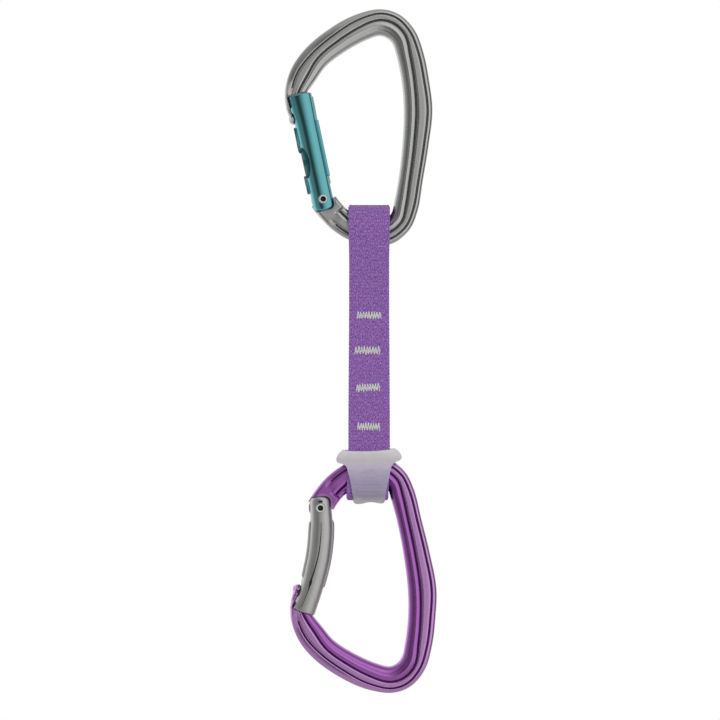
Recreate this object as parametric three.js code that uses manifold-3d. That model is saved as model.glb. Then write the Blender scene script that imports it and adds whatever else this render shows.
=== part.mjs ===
// Climbing quickdraw: two snap carabiners joined by a sewn webbing sling, with a rubber keeper
// that holds the rope-end carabiner in place.
//
// Frame: millimetres, +Z up, +Y towards the back, the draw hanging from its top carabiner. The origin
// is the seat in the top carabiner's basket where the bolt hanger bears. Both carabiners use one
// forging. The forging is drawn in its own plane, x towards the spine and z towards the basket, with
// the gate rivet at 0, 0. The lower carabiner is the same forging turned upside down.
import * as THREE from "three";
import { mergeVertices } from "three/addons/utils/BufferGeometryUtils.js";
import Module from "manifold-3d";

const wasm = await Module();
wasm.setup();
const DEG = Math.PI / 180;

// Where the carabiners sit
const UPPER_RIVET = [-23.3, -67.3];
const LOWER_RIVET = [-24.4, -193.9];
const LOWER_LEAN = 4.5 * DEG;

// Forging
const LUG_HALF = 1.6;
const LUG_RADIUS = 4.9;
const LUG_FLAT = 4.3;
const LUG_CORNER = 3.3;
const LAND_HALF = 4.1;
const CROWN_HALF = 4.65;
const GROOVE_DEEP = 1.1;
const FRAME_STEPS = 64;
const SEAT_DEEP = 0.2;
const SEAT_HALF = 1.5;

// Gates
const GATE_HALF = 4.9;
const GATE_OPEN = 29 * DEG;
const GATE_GAP = 0.35;
const SCOOP_RADIUS = 21.6;
const SCOOP_AT = [-22.1, 13.55, 16];
const SCOOP_TURN = 31.5 * DEG;
const SLOT_HALF = 2.05;
const LUG_SLOT_TOP = 6.0;
const BORE_RADIUS = 2.3;
const BORE_OFFSET = 1.5;
const RIVET_RADIUS = 1.5;
const RIVET_HOLE = 1.85;
const LUG_HOLE = 1.85;
const HEAD_RADIUS = 1.85;
const HEAD_FROM = 5.0;
const HEAD_TO = 5.45;

// Spring and pusher in each gate
const PUSHER_TIP = 4.75;
const PUSHER_SHAFT = 1.15;
const PUSHER_HEAD = 1.9;
const PUSHER_HEAD_FROM = 8.2;
const PUSHER_HEAD_TO = 9.0;
const PUSHER_PIN = 0.9;
const SPRING_RADIUS = 1.6;
const WIRE_RADIUS = 0.28;
const SPRING_TURNS = 7;

// Sling
const SLING_X = -4.45;
const WEB_HALF = 8.6;
const WEB_HALF_LOW = 8.4;
const WEB_THICK = 1.5;
const PLY_GAP = 0.15;
const TOP_AXIS_Z = -79.25;
const TOP_LOOP_IN = 8.3;
const TOP_NECK_Z = -111;
const TILT_Z = -96;
const TILT_HALF = 12 * DEG;
const FLEX_Z = -165.6;
const LOW_AXIS_Z = -186.0;
const LOW_CORNER = 3.4;
const LOW_LOOP_IN = 5.2;
const LOW_SHIFT = 1.0;
const BARTACK_Z = [-114.8, -129.2, -144.4, -160.3];
const BARTACK_HALF = 5.0;
const BARTACK_TALL = 1.7;
const BARTACK_TEETH = 8;
const THREAD = 0.5;
const CLEAR = 0.3;

// Rubber keeper
const KEEPER_WALL = 1.35;
const KEEPER_X = [-18.0, 8.9];

// --- Solids ---------------------------------------------------------------------------------------

function solidOf(geometry) {
  const bare = geometry.index ? geometry.toNonIndexed() : geometry.clone();
  bare.deleteAttribute("normal");
  bare.deleteAttribute("uv");
  const merged = mergeVertices(bare, 1e-3);
  return new wasm.Manifold(
    new wasm.Mesh({
      numProp: 3,
      vertProperties: merged.attributes.position.array,
      triVerts: new Uint32Array(merged.index.array),
    }),
  );
}

function geometryOf(solid) {
  const mesh = solid.getMesh();
  const points = new Float32Array(mesh.numVert * 3);
  for (let i = 0; i < mesh.numVert; i++) {
    points.set(mesh.vertProperties.subarray(i * mesh.numProp, i * mesh.numProp + 3), i * 3);
  }
  return new THREE.BufferGeometry()
    .setAttribute("position", new THREE.BufferAttribute(points, 3))
    .setIndex(new THREE.BufferAttribute(mesh.triVerts, 1));
}

// A closed skin through a list of rings with the same number of points, capped at both ends.
function loft(rings) {
  const n = rings[0].length;
  const points = rings.flat().flatMap((p) => [p.x, p.y, p.z]);
  const faces = [];
  for (let r = 0; r + 1 < rings.length; r++) {
    for (let i = 0; i < n; i++) {
      const j = (i + 1) % n;
      const [a, b, c, d] = [r * n + i, r * n + j, (r + 1) * n + j, (r + 1) * n + i];
      faces.push(a, b, c, a, c, d);
    }
  }
  for (const [ring, turn] of [[0, false], [rings.length - 1, true]]) {
    const middle = rings[ring].reduce((s, p) => s.add(p), new THREE.Vector3()).divideScalar(n);
    const hub = points.length / 3;
    points.push(middle.x, middle.y, middle.z);
    for (let i = 0; i < n; i++) {
      const [a, b] = [ring * n + i, ring * n + ((i + 1) % n)];
      faces.push(...(turn ? [hub, a, b] : [hub, b, a]));
    }
  }
  const made = new THREE.BufferGeometry()
    .setAttribute("position", new THREE.Float32BufferAttribute(points, 3))
    .setIndex(faces);
  const solid = solidOf(made);
  return solid.volume() > 0 ? solid : solidOf(flipped(made));
}

function flipped(geometry) {
  const index = geometry.index.array.slice();
  for (let i = 0; i < index.length; i += 3) [index[i + 1], index[i + 2]] = [index[i + 2], index[i + 1]];
  return geometry.clone().setIndex(new THREE.BufferAttribute(index, 1));
}

const shapeOf = (points) => new THREE.Shape(points.map(([a, b]) => new THREE.Vector2(a, b)));

// An outline in the x, z plane, made solid between two y levels.
function plate(shape, y0, y1, curveSegments = 10) {
  const made = new THREE.ExtrudeGeometry(shape, { depth: y1 - y0, bevelEnabled: false, curveSegments });
  made.rotateX(Math.PI / 2).translate(0, y1, 0);
  return solidOf(made);
}

// An outline in the y, z plane, made solid between two x levels.
function strip(shape, x0, x1, curveSegments = 12) {
  const made = new THREE.ExtrudeGeometry(shape, { depth: x1 - x0, bevelEnabled: false, curveSegments });
  const turn = new THREE.Matrix4().makeBasis(
    new THREE.Vector3(0, 1, 0),
    new THREE.Vector3(0, 0, 1),
    new THREE.Vector3(1, 0, 0),
  );
  return solidOf(made.applyMatrix4(turn).translate(x0, 0, 0));
}

// A round bar along y through x, z.
function crossBar(x, z, radius, half, sides = 24) {
  return solidOf(new THREE.CylinderGeometry(radius, radius, 2 * half, sides).translate(x, 0, z));
}

function box(x0, x1, y0, y1, z0, z1) {
  const made = new THREE.BoxGeometry(x1 - x0, y1 - y0, z1 - z0);
  return solidOf(made.translate((x0 + x1) / 2, (y0 + y1) / 2, (z0 + z1) / 2));
}

// Turns a solid drawn along +z so that it leans towards +x by an angle, about the rivet.
function leaned(solid, angle) {
  return solid.rotate([0, angle / DEG, 0]);
}

const metal = (color, roughness) => new THREE.MeshStandardMaterial({ color, roughness, metalness: 1 });
const soft = (color, roughness) => new THREE.MeshStandardMaterial({ color, roughness, metalness: 0 });
const LOOKS = {
  grey: metal(0x8f8f8f, 0.4),
  violet: metal(0x9a5cab, 0.4),
  teal: metal(0x2f8088, 0.25),
  bright: metal(0xb4b4b2, 0.25),
  steel: metal(0xc8c6c4, 0.3),
  webbing: soft(0x8a5cad, 0.9),
  thread: soft(0xe4e6dc, 0.8),
  rubber: new THREE.MeshStandardMaterial({ color: 0xd5d2d8, roughness: 0.5, transparent: true, opacity: 0.7 }),
};

function piece(name, solid, look) {
  const mesh = new THREE.Mesh(geometryOf(solid), look);
  mesh.name = name;
  return mesh;
}

// --- Forged frame ---------------------------------------------------------------------------------

// Rungs across the forging from the lug, round the small end, up the spine, over the basket and down
// to the nose: outer point, inner point, width of the inner rim and width of the outer rim.
const RUNGS = [
  [-4.8, -2.9, 5.2, 1.3, 2.0, 2.6],
  [-1.7, -7.0, 7.3, -1.4, 2.6, 2.6],
  [3.4, -12.1, 10.3, -4.4, 2.8, 2.4],
  [10.6, -16.6, 14.6, -6.7, 3.4, 2.2],
  [19.6, -19.1, 19.8, -8.5, 4.4, 2.1],
  [28.8, -17.9, 25.0, -8.6, 5.2, 2.1],
  [35.6, -12.2, 28.0, -5.6, 5.4, 2.0],
  [38.9, -4.4, 29.2, -0.8, 5.0, 2.0],
  [41.0, 8.0, 31.0, 9.0, 4.5, 1.9],
  [43.3, 22.0, 32.5, 22.5, 4.7, 2.0],
  [44.9, 36.5, 33.1, 36.5, 5.0, 2.1],
  [43.6, 48.5, 32.3, 48.0, 5.0, 2.2],
  [41.3, 60.0, 30.2, 58.7, 5.3, 2.2],
  [37.6, 69.6, 28.4, 64.2, 5.9, 2.2],
  [31.2, 76.1, 26.0, 66.6, 6.0, 2.1],
  [23.4, 78.2, 23.1, 67.5, 5.8, 2.1],
  [12.6, 75.7, 18.2, 66.0, 5.4, 2.7],
  [2.4, 70.1, 9.6, 61.4, 4.8, 3.4],
  [-7.2, 62.2, 1.2, 55.1, 4.3, 3.6],
  [-13.2, 53.8, -3.4, 48.8, 3.6, 3.2],
  [-15.8, 44.6, -7.2, 43.2, 3.0, 2.8],
  [-15.4, 38.2, -9.8, 37.8, 2.0, 2.2],
  [-13.9, 33.6, -10.3, 33.8, 1.4, 1.6],
  [-12.9, 31.0, -11.1, 30.9, 0.8, 0.9],
];
// Rungs between which each groove runs at full depth; it fades out over the next rung.
const INNER_GROOVE = [1.9, 20];
const OUTER_GROOVE = [2.2, 18.6];
const GROOVE_FADE = 0.9;

const ramp = (x) => THREE.MathUtils.smoothstep(x, 0, 1);
const grooveAt = ([from, to], rung, fade) => ramp((rung - from + fade) / fade) * ramp((to + fade - rung) / fade);

// Half of a section, from the inner edge to the outer one, as distance across and half thickness.
function halfSection(width, inner, outer, innerGroove, outerGroove) {
  const land = LAND_HALF;
  return [
    [0, 1.5],
    [0.1 * inner, 2.9],
    [0.27 * inner, 3.95],
    [0.52 * inner, CROWN_HALF],
    [0.84 * inner, 4.35],
    [inner, land - GROOVE_DEEP * innerGroove],
    [inner + 0.55, land],
    [width - outer - 0.35, land],
    [width - outer, land - GROOVE_DEEP * outerGroove],
    [width - 0.72 * outer, 3.85],
    [width - 0.3 * outer, 3.6],
    [width, 2.8],
  ];
}

const outerEdge = new THREE.CatmullRomCurve3(RUNGS.map(([x, z]) => new THREE.Vector3(x, 0, z)));
const innerEdge = new THREE.CatmullRomCurve3(RUNGS.map(([, , x, z]) => new THREE.Vector3(x, 0, z)));
const widths = new THREE.CatmullRomCurve3(RUNGS.map(([, , , , i, o]) => new THREE.Vector3(i, 0, o)));

function frameLoft() {
  const rings = [];
  for (let k = 0; k <= FRAME_STEPS; k++) {
    const t = k / FRAME_STEPS;
    const rung = t * (RUNGS.length - 1);
    const from = innerEdge.getPoint(t);
    const across = outerEdge.getPoint(t).sub(from);
    const width = across.length();
    across.normalize();
    const rims = widths.getPoint(t);
    const half = halfSection(
      width,
      rims.x,
      rims.z,
      grooveAt(INNER_GROOVE, rung, GROOVE_FADE),
      grooveAt(OUTER_GROOVE, rung, GROOVE_FADE),
    );
    const at = (d, y) => from.clone().addScaledVector(across, d).setY(y);
    rings.push([
      at(0, 0),
      ...half.map(([d, h]) => at(d, -h)),
      ...half.map(([d, h]) => at(d, h)).reverse(),
    ]);
  }
  return loft(rings);
}

// The lug that the gate turns on: a disc with a flat towards the gate, which works the pusher.
function lugPlate(lean) {
  const shape = new THREE.Shape();
  const rise = Math.acos(LUG_FLAT / LUG_RADIUS);
  shape.moveTo(LUG_CORNER, LUG_FLAT);
  shape.lineTo(-LUG_RADIUS * Math.sin(rise), LUG_FLAT);
  shape.absarc(0, 0, LUG_RADIUS, Math.PI / 2 + rise, 2 * Math.PI - 0.35, false);
  return leaned(plate(shape, -LUG_HALF, LUG_HALF, 14), lean);
}

// The frame, thinned to a tongue wherever the gate's two cheeks pass, from shut to open.
function forgedFrame(gate, lean) {
  let pocket = null;
  for (let i = 0; i <= 4; i++) {
    const swept = plate(gate.plan(GATE_GAP), -8, 8, 6).rotate([0, (i / 4) * (GATE_OPEN / DEG), 0]);
    pocket = pocket ? pocket.add(swept) : swept;
  }
  pocket = pocket.subtract(box(-60, 60, -LUG_HALF, LUG_HALF, -60, 90));
  const solid = frameLoft()
    .subtract(pocket)
    .add(lugPlate(gate.lean))
    .subtract(box(-2.6, 3.9, -LUG_HALF, LUG_HALF, 0, 8).subtract(lugClearer(gate.lean)))
    .subtract(crossBar(0, 0, LUG_HOLE, 8))
    .add(seat(lean));
  return largest(solid);
}

// The small level seat for the rope or hanger that fills the very bottom of the basket's curve.
function seat(lean) {
  const up = new THREE.Vector3(Math.sin(lean), 0, -Math.cos(lean));
  const along = new THREE.Vector3(Math.cos(lean), 0, Math.sin(lean));
  const edge = innerEdge.getPoints(600);
  const low = Math.min(...edge.map((p) => p.dot(up)));
  const reach = edge.filter((p) => p.dot(up) < low + SEAT_DEEP).map((p) => p.dot(along));
  const made = box(Math.min(...reach), Math.max(...reach), -SEAT_HALF, SEAT_HALF, -low - SEAT_DEEP, 1 - low);
  return leaned(made, -lean);
}

// Without the slivers that a cut can leave.
function largest(solid) {
  return solid.decompose().reduce((a, b) => (a.volume() > b.volume() ? a : b));
}

// Everything of the lug zone that stays: used to trim what the loft leaves above the lug's flat.
function lugClearer(lean) {
  return leaned(box(-20, 20, -8, 8, -20, LUG_FLAT), lean);
}

// --- Gates ----------------------------------------------------------------------------------------

// A gate is a run of stations: centre x, centre z, reach to the outside, reach to the inside.
const STRAIGHT = {
  lean: -11.9 * DEG,
  boreTop: 24,
  stations: [
    [0, 5.0, 4.55],
    [8, 5.05, 4.5],
    [16, 5.1, 4.5],
    [24, 5.15, 4.45],
    [32, 5.3, 4.45],
    [38, 5.95, 4.65],
    [44.1, 6.3, 4.65],
  ].map(([t, out, inside]) => [-t * Math.sin(11.9 * DEG), t * Math.cos(11.9 * DEG), out, inside]),
  ridges: [
    [-5.95, -3, 3.5, 11],
    [-6.0, -3, 20.5, 31.2],
    [3, 4.8, 9, 32.5],
  ],
  noseSlot: [[-16, 46.5], [-16, 31.5], [-12.4, 29.2], [-8.0, 31.4], [-5.6, 38], [-3.2, 47]],
};
const BENT = {
  lean: -3.5 * DEG,
  boreTop: 17,
  stations: [
    [0, 0, 4.5, 4.6],
    [-0.2, 6.2, 4.7, 4.8],
    [-0.7, 11.2, 4.9, 4.9],
    [-1.5, 16.1, 4.9, 4.9],
    [-2.6, 21.0, 4.9, 4.9],
    [-4.0, 25.8, 4.9, 4.8],
    [-5.6, 30.6, 4.8, 4.7],
    [-7.4, 35.3, 4.8, 4.7],
    [-10.5, 42.0, 5.3, 4.9],
  ],
  ridges: [],
  noseSlot: [[-19, 44.5], [-17, 31.5], [-12.4, 28.8], [-8.2, 30.6], [-6.6, 36], [-5.9, 45]],
};
const END_CORNER = 2.4;
const END_DOWN = 4.6;

for (const gate of [STRAIGHT, BENT]) {
  const centre = new THREE.CatmullRomCurve3(gate.stations.map(([x, z]) => new THREE.Vector3(x, 0, z)));
  const reach = new THREE.CatmullRomCurve3(gate.stations.map(([, , o, i]) => new THREE.Vector3(o, 0, i)));
  gate.at = (t) => {
    const along = centre.getTangent(t);
    return { point: centre.getPoint(t), side: new THREE.Vector3(along.z, 0, -along.x), reach: reach.getPoint(t) };
  };
  // The gate seen from the front, grown by a gap: rounded end at the rivet, square end at the nose.
  gate.plan = (gap) => {
    const edge = (t, sign) => {
      const { point, side, reach: r } = gate.at(t);
      return point.addScaledVector(side, sign * (gap + (sign < 0 ? r.x : r.z)));
    };
    const start = gate.at(0);
    const down = new THREE.Vector3(start.side.z, 0, -start.side.x);
    const corner = (sign, out, low) =>
      start.point
        .clone()
        .addScaledVector(start.side, sign * out)
        .addScaledVector(down, low);
    const [left, right, low] = [start.reach.x + gap, start.reach.z + gap, END_DOWN + gap];
    const cut = END_CORNER;
    const shape = new THREE.Shape();
    const a = corner(-1, left, low - cut);
    shape.moveTo(a.x, a.z);
    const round = (p, q) => shape.quadraticCurveTo(p.x, p.z, q.x, q.z);
    round(corner(-1, left, low), corner(-1, left - cut, low));
    const b = corner(1, right - cut, low);
    shape.lineTo(b.x, b.z);
    round(corner(1, right, low), corner(1, right, low - cut));
    const steps = 12;
    for (let i = 0; i <= steps; i++) {
      const p = edge(i / steps, 1);
      shape.lineTo(p.x, p.z);
    }
    const end = gate.at(1);
    const past = new THREE.Vector3(-end.side.z, 0, end.side.x).multiplyScalar(gap);
    for (const sign of [1, -1]) {
      const p = edge(1, sign).add(past);
      shape.lineTo(p.x, p.z);
    }
    for (let i = steps; i >= 0; i--) {
      const p = edge(i / steps, -1);
      shape.lineTo(p.x, p.z);
    }
    return shape;
  };
}

// The outside of a gate: an oval bar that follows the centreline, longer than the plan, cut to it.
function gateBar(gate) {
  const rings = [];
  const steps = 14;
  const sides = 22;
  for (let i = 0; i <= steps; i++) {
    const { point, side, reach } = gate.at(i / steps);
    const ring = [];
    for (let k = 0; k < sides; k++) {
      const angle = (k / sides) * 2 * Math.PI;
      const c = Math.cos(angle);
      const s = Math.sin(angle);
      const across = Math.sign(c) * Math.abs(c) ** 0.8 * (c < 0 ? reach.x : reach.z);
      ring.push(
        point
          .clone()
          .addScaledVector(side, across)
          .setY(Math.sign(s) * Math.abs(s) ** 0.8 * GATE_HALF),
      );
    }
    rings.push(ring);
  }
  const down = rings[0].map((p) => {
    const { side } = gate.at(0);
    return p.clone().add(new THREE.Vector3(side.z, 0, -side.x).multiplyScalar(8));
  });
  return loft([down, ...rings]).intersect(plate(gate.plan(0), -8, 8, 6));
}

function gateSolid(gate) {
  let solid = gateBar(gate);
  for (const [x0, x1, from, to] of gate.ridges) {
    solid = solid.add(leaned(box(x0, x1, -2.4, 2.4, from, to), gate.lean));
  }
  if (gate === STRAIGHT) {
    for (const sign of [-1, 1]) {
      const scoop = solidOf(
        new THREE.CylinderGeometry(SCOOP_RADIUS, SCOOP_RADIUS, 36, 72)
          .rotateZ(sign * SCOOP_TURN)
          .translate(SCOOP_AT[0], sign * -SCOOP_AT[1], SCOOP_AT[2]),
      );
      solid = solid.subtract(leaned(scoop, gate.lean));
    }
  }
  const lugSlot = leaned(box(-12, 12, -SLOT_HALF, SLOT_HALF, -12, LUG_SLOT_TOP), gate.lean);
  const depth = gate.boreTop - LUG_SLOT_TOP + 1;
  const bore = solidOf(
    new THREE.CylinderGeometry(BORE_RADIUS, BORE_RADIUS, depth, 18)
      .rotateX(Math.PI / 2)
      .translate(BORE_OFFSET, 0, gate.boreTop - depth / 2),
  );
  if (gate === BENT) solid = solid.subtract(leaned(box(-0.85, 0.85, -8, 8, -3.1, -2.2), gate.lean));
  return solid
    .subtract(lugSlot)
    .subtract(leaned(bore, gate.lean))
    .subtract(crossBar(0, 0, RIVET_HOLE, 8))
    .subtract(plate(shapeOf(gate.noseSlot), -SLOT_HALF, SLOT_HALF));
}

// A solid rivet whose heads are dished.
function rivet() {
  const dish = 1.15;
  const profile = [
    [0, HEAD_TO - 1.6],
    [0.75, HEAD_TO - 1.5],
    [dish, HEAD_TO],
    [HEAD_RADIUS, HEAD_TO],
    [HEAD_RADIUS, HEAD_FROM],
    [RIVET_RADIUS, HEAD_FROM],
  ];
  const mirrored = profile.map(([r, y]) => [r, -y]).reverse();
  const points = [...profile, ...mirrored].map(([r, y]) => new THREE.Vector2(r, y));
  return facingOut(new THREE.LatheGeometry(points, 24));
}

function facingOut(geometry) {
  const solid = solidOf(geometry);
  if (solid.volume() > 0) return solid;
  const indexed = geometry.index ? geometry : mergeVertices(geometry, 1e-3);
  return solidOf(flipped(indexed));
}

// The pin that the lug pushes up the bore: round tip, shaft, head under the spring and a guide pin.
function pusher(gate) {
  const points = [new THREE.Vector2(0, PUSHER_TIP)];
  const steps = 5;
  for (let i = 1; i <= steps; i++) {
    const a = (i / steps) * (Math.PI / 2);
    points.push(new THREE.Vector2(PUSHER_SHAFT * Math.sin(a), PUSHER_TIP + PUSHER_SHAFT * (1 - Math.cos(a))));
  }
  for (const [r, z] of [
    [PUSHER_SHAFT, PUSHER_HEAD_FROM],
    [PUSHER_HEAD, PUSHER_HEAD_FROM],
    [PUSHER_HEAD, PUSHER_HEAD_TO],
    [PUSHER_PIN, PUSHER_HEAD_TO],
    [PUSHER_PIN, PUSHER_HEAD_TO + 2.6],
    [0, PUSHER_HEAD_TO + 2.9],
  ]) {
    points.push(new THREE.Vector2(r, z));
  }
  const turned = new THREE.LatheGeometry(points, 16).rotateX(Math.PI / 2).translate(BORE_OFFSET, 0, 0);
  return leaned(facingOut(turned), gate.lean);
}

function spring(gate) {
  const from = PUSHER_HEAD_TO + WIRE_RADIUS + 0.2;
  const to = gate.boreTop - WIRE_RADIUS - 0.2;
  const perTurn = 9;
  const count = SPRING_TURNS * perTurn;
  const rings = [];
  for (let i = 0; i <= count; i++) {
    const turn = (i / perTurn) * 2 * Math.PI;
    const out = new THREE.Vector3(Math.cos(turn), Math.sin(turn), 0);
    const middle = out
      .clone()
      .multiplyScalar(SPRING_RADIUS)
      .setZ(from + ((to - from) * i) / count);
    const ring = [];
    for (let k = 0; k < 6; k++) {
      const a = (k / 6) * 2 * Math.PI;
      ring.push(
        middle
          .clone()
          .addScaledVector(out, WIRE_RADIUS * Math.cos(a))
          .add(new THREE.Vector3(BORE_OFFSET, 0, WIRE_RADIUS * Math.sin(a))),
      );
    }
    rings.push(ring);
  }
  return leaned(loft(rings), gate.lean);
}

function carabiner(name, gate, lean, frameLook, gateLook) {
  const group = new THREE.Group();
  group.add(piece(`${name}_frame`, forgedFrame(gate, lean), frameLook));
  group.add(piece(`${name}_gate`, gateSolid(gate), gateLook));
  group.add(piece(`${name}_gate_rivet`, rivet(), LOOKS.steel));
  group.add(piece(`${name}_gate_pusher`, pusher(gate), LOOKS.steel));
  group.add(piece(`${name}_gate_spring`, spring(gate), LOOKS.steel));
  return group;
}

// --- Sling ----------------------------------------------------------------------------------------

// How far each leg of the top loop leans from the vertical.
const LEG_LEAN = Math.asin((TOP_LOOP_IN - PLY_GAP) / (TOP_AXIS_Z - TOP_NECK_Z));

// Side view of the top loop, from the fold down to where the two plies meet.
function topLoopProfile(inset) {
  const r = TOP_LOOP_IN + inset;
  const near = PLY_GAP + inset;
  const lean = LEG_LEAN;
  const shape = new THREE.Shape();
  shape.moveTo(near, TOP_NECK_Z);
  shape.absarc(0, TOP_AXIS_Z, r, -lean, Math.PI + lean, false);
  shape.lineTo(-near, TOP_NECK_Z);
  return shape;
}

const topLoopWall = (x0, x1) =>
  strip(topLoopProfile(WEB_THICK), x0, x1, 22).subtract(strip(topLoopProfile(0), x0 - 1, x1 + 1, 22));

// The sling from the front between two levels; the ends can slope to leave room for the tilt.
function slingPlan(top, bottom, topSlope, bottomSlope, round) {
  const [l, r] = [SLING_X - WEB_HALF, SLING_X + WEB_HALF];
  const shape = new THREE.Shape();
  const drop = WEB_HALF * Math.tan(topSlope);
  const lift = WEB_HALF * Math.tan(bottomSlope);
  shape.moveTo(l, top - drop - round);
  shape.quadraticCurveTo(l, top - drop, l + round, top - drop);
  if (topSlope) shape.lineTo(SLING_X, top);
  shape.lineTo(r - round, top - drop);
  shape.quadraticCurveTo(r, top - drop, r, top - drop - round);
  shape.lineTo(r, bottom + lift);
  if (bottomSlope) shape.lineTo(SLING_X, bottom);
  shape.lineTo(l, bottom + lift);
  return shape;
}

function topLoop() {
  const wall = topLoopWall(SLING_X - WEB_HALF, SLING_X + WEB_HALF);
  const plan = slingPlan(TOP_AXIS_Z + TOP_LOOP_IN + WEB_THICK, TILT_Z + CLEAR / 2, 0, TILT_HALF / 2, 1.4);
  return wall.intersect(plate(plan, -20, 20, 4));
}

// One ply of the middle: a leg of the top loop, then the flat length that is sewn.
function ply(sign) {
  const bottom = FLEX_Z + PLY_GAP + WEB_THICK + CLEAR;
  const [inner, outer] = [PLY_GAP, PLY_GAP + WEB_THICK];
  const rise = TILT_Z + 1 - TOP_NECK_Z;
  const spread = rise * Math.tan(LEG_LEAN);
  const side = [
    [inner, bottom],
    [outer, bottom],
    [outer, TOP_NECK_Z],
    [outer + spread, TOP_NECK_Z + rise],
    [inner + spread, TOP_NECK_Z + rise],
    [inner, TOP_NECK_Z],
  ];
  const solid = strip(shapeOf(side.map(([y, z]) => [sign * y, z])), SLING_X - WEB_HALF, SLING_X + WEB_HALF);
  return solid.intersect(plate(slingPlan(TILT_Z - CLEAR / 2, bottom - 1, TILT_HALF / 2, 0, 0.1), -20, 20, 2));
}

// Side view of the bottom loop: a teardrop whose neck is round, so that the sling can bend there.
function lowLoopProfile(inset) {
  const r = LOW_LOOP_IN + inset;
  const shape = new THREE.Shape();
  shape.moveTo(r, -180);
  shape.lineTo(4.5 + inset, -173.7);
  if (inset) {
    shape.lineTo(PLY_GAP + inset, -167);
    shape.absarc(0, FLEX_Z, PLY_GAP + inset, 0, Math.PI, false);
    shape.lineTo(-PLY_GAP - inset, -167);
  } else {
    shape.lineTo(PLY_GAP, -167.2);
    shape.lineTo(-PLY_GAP, -167.2);
  }
  shape.lineTo(-4.5 - inset, -173.7);
  shape.lineTo(-r, -180);
  addFold(shape, inset);
  return shape;
}

// The foot of the bottom loop: two quarter rounds with a short flat between them.
function addFold(shape, inset) {
  const middle = LOW_LOOP_IN - LOW_CORNER;
  shape.absarc(-middle, LOW_AXIS_Z, LOW_CORNER + inset, Math.PI, 1.5 * Math.PI, false);
  shape.absarc(middle, LOW_AXIS_Z, LOW_CORNER + inset, 1.5 * Math.PI, 2 * Math.PI, false);
}

function bottomLoop() {
  const [l, r] = [SLING_X - WEB_HALF_LOW, SLING_X + WEB_HALF_LOW];
  const wall = strip(lowLoopProfile(WEB_THICK), l - 2, r).subtract(strip(lowLoopProfile(0), l - 3, r + 1));
  const low = LOW_AXIS_Z - LOW_CORNER - WEB_THICK;
  const plan = new THREE.Shape();
  plan.moveTo(l, FLEX_Z + 4);
  plan.lineTo(l, LOW_AXIS_Z + 10);
  plan.lineTo(l - LOW_SHIFT, low + 2);
  plan.quadraticCurveTo(l - LOW_SHIFT, low, l + 2 - LOW_SHIFT, low);
  plan.lineTo(r - 2.4 - LOW_SHIFT / 2, low);
  plan.quadraticCurveTo(r - LOW_SHIFT / 2, low, r - LOW_SHIFT / 2, low + 2.4);
  plan.lineTo(r, LOW_AXIS_Z + 10);
  plan.lineTo(r, FLEX_Z + 4);
  return wall.intersect(plate(plan, -20, 20, 4));
}

// A zigzag patch of thread on one face of the sling.
function bartack(z, sign) {
  const points = [];
  const teeth = 2 * BARTACK_TEETH;
  for (let i = 0; i <= teeth; i++) {
    const x = SLING_X + BARTACK_HALF * ((2 * i) / teeth - 1);
    points.push([x, z + (i % 2 ? BARTACK_TALL : BARTACK_TALL - 1.2)]);
  }
  for (let i = teeth; i >= 0; i--) {
    const x = SLING_X + BARTACK_HALF * ((2 * i) / teeth - 1);
    points.push([x, z - (i % 2 ? BARTACK_TALL - 1.2 : BARTACK_TALL)]);
  }
  const face = PLY_GAP + WEB_THICK + CLEAR;
  return plate(shapeOf(points), sign < 0 ? -face - THREAD : face, sign < 0 ? -face : face + THREAD);
}

// --- Rubber keeper --------------------------------------------------------------------------------

// Front view: two ears on a body that narrows downwards to a scalloped lower edge.
function keeperPlan() {
  const shape = new THREE.Shape();
  shape.moveTo(-15.4, -170.3);
  shape.quadraticCurveTo(-17.2, -171.4, -18.0, -173.9);
  shape.quadraticCurveTo(-17.8, -175.4, -16.6, -175.5);
  shape.quadraticCurveTo(-14.4, -175.9, -13.7, -177.0);
  shape.quadraticCurveTo(-12.0, -183.0, -11.3, -188.0);
  shape.lineTo(-10.9, -191.4);
  shape.quadraticCurveTo(-10.4, -192.4, -9.4, -192.4);
  shape.quadraticCurveTo(-7.6, -192.4, -6.2, -191.9);
  shape.quadraticCurveTo(-4.2, -191.2, -2.0, -191.7);
  shape.lineTo(0, -192.1);
  shape.quadraticCurveTo(1.8, -192.3, 2.0, -190.8);
  shape.quadraticCurveTo(2.7, -185.0, 4.6, -177.0);
  shape.quadraticCurveTo(5.4, -175.3, 7.2, -174.6);
  shape.quadraticCurveTo(8.9, -174.2, 8.9, -172.8);
  shape.quadraticCurveTo(8.4, -171.0, 6.0, -169.6);
  shape.quadraticCurveTo(-4.0, -171.2, -15.4, -170.3);
  return shape;
}

function keeperSide(inset) {
  const wall = WEB_THICK + CLEAR + inset;
  const r = LOW_LOOP_IN + wall;
  const shape = new THREE.Shape();
  shape.moveTo(r, -180);
  shape.lineTo(4.5 + wall, -173.7);
  shape.lineTo(1.3 + wall, -168.5);
  shape.lineTo(-1.3 - wall, -168.5);
  shape.lineTo(-4.5 - wall, -173.7);
  shape.lineTo(-r, -180);
  addFold(shape, wall);
  return shape;
}

function keeper() {
  const bodyShape = plate(keeperPlan(), -12, 12, 5).intersect(strip(keeperSide(KEEPER_WALL), ...KEEPER_X));
  const sling = strip(keeperSide(0), SLING_X - WEB_HALF_LOW - LOW_SHIFT - 0.35, SLING_X + WEB_HALF_LOW + 0.35);
  const bar = box(-30, 20, -5.05, 5.05, LOW_AXIS_Z - 2, -173.7);
  return bodyShape.subtract(sling).subtract(bar);
}

// --- Assembly -------------------------------------------------------------------------------------

const quickdraw = new THREE.Group();

const upper = carabiner("upper", STRAIGHT, 0, LOOKS.grey, LOOKS.teal);
upper.position.set(UPPER_RIVET[0], 0, UPPER_RIVET[1]);
quickdraw.add(upper);

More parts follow.
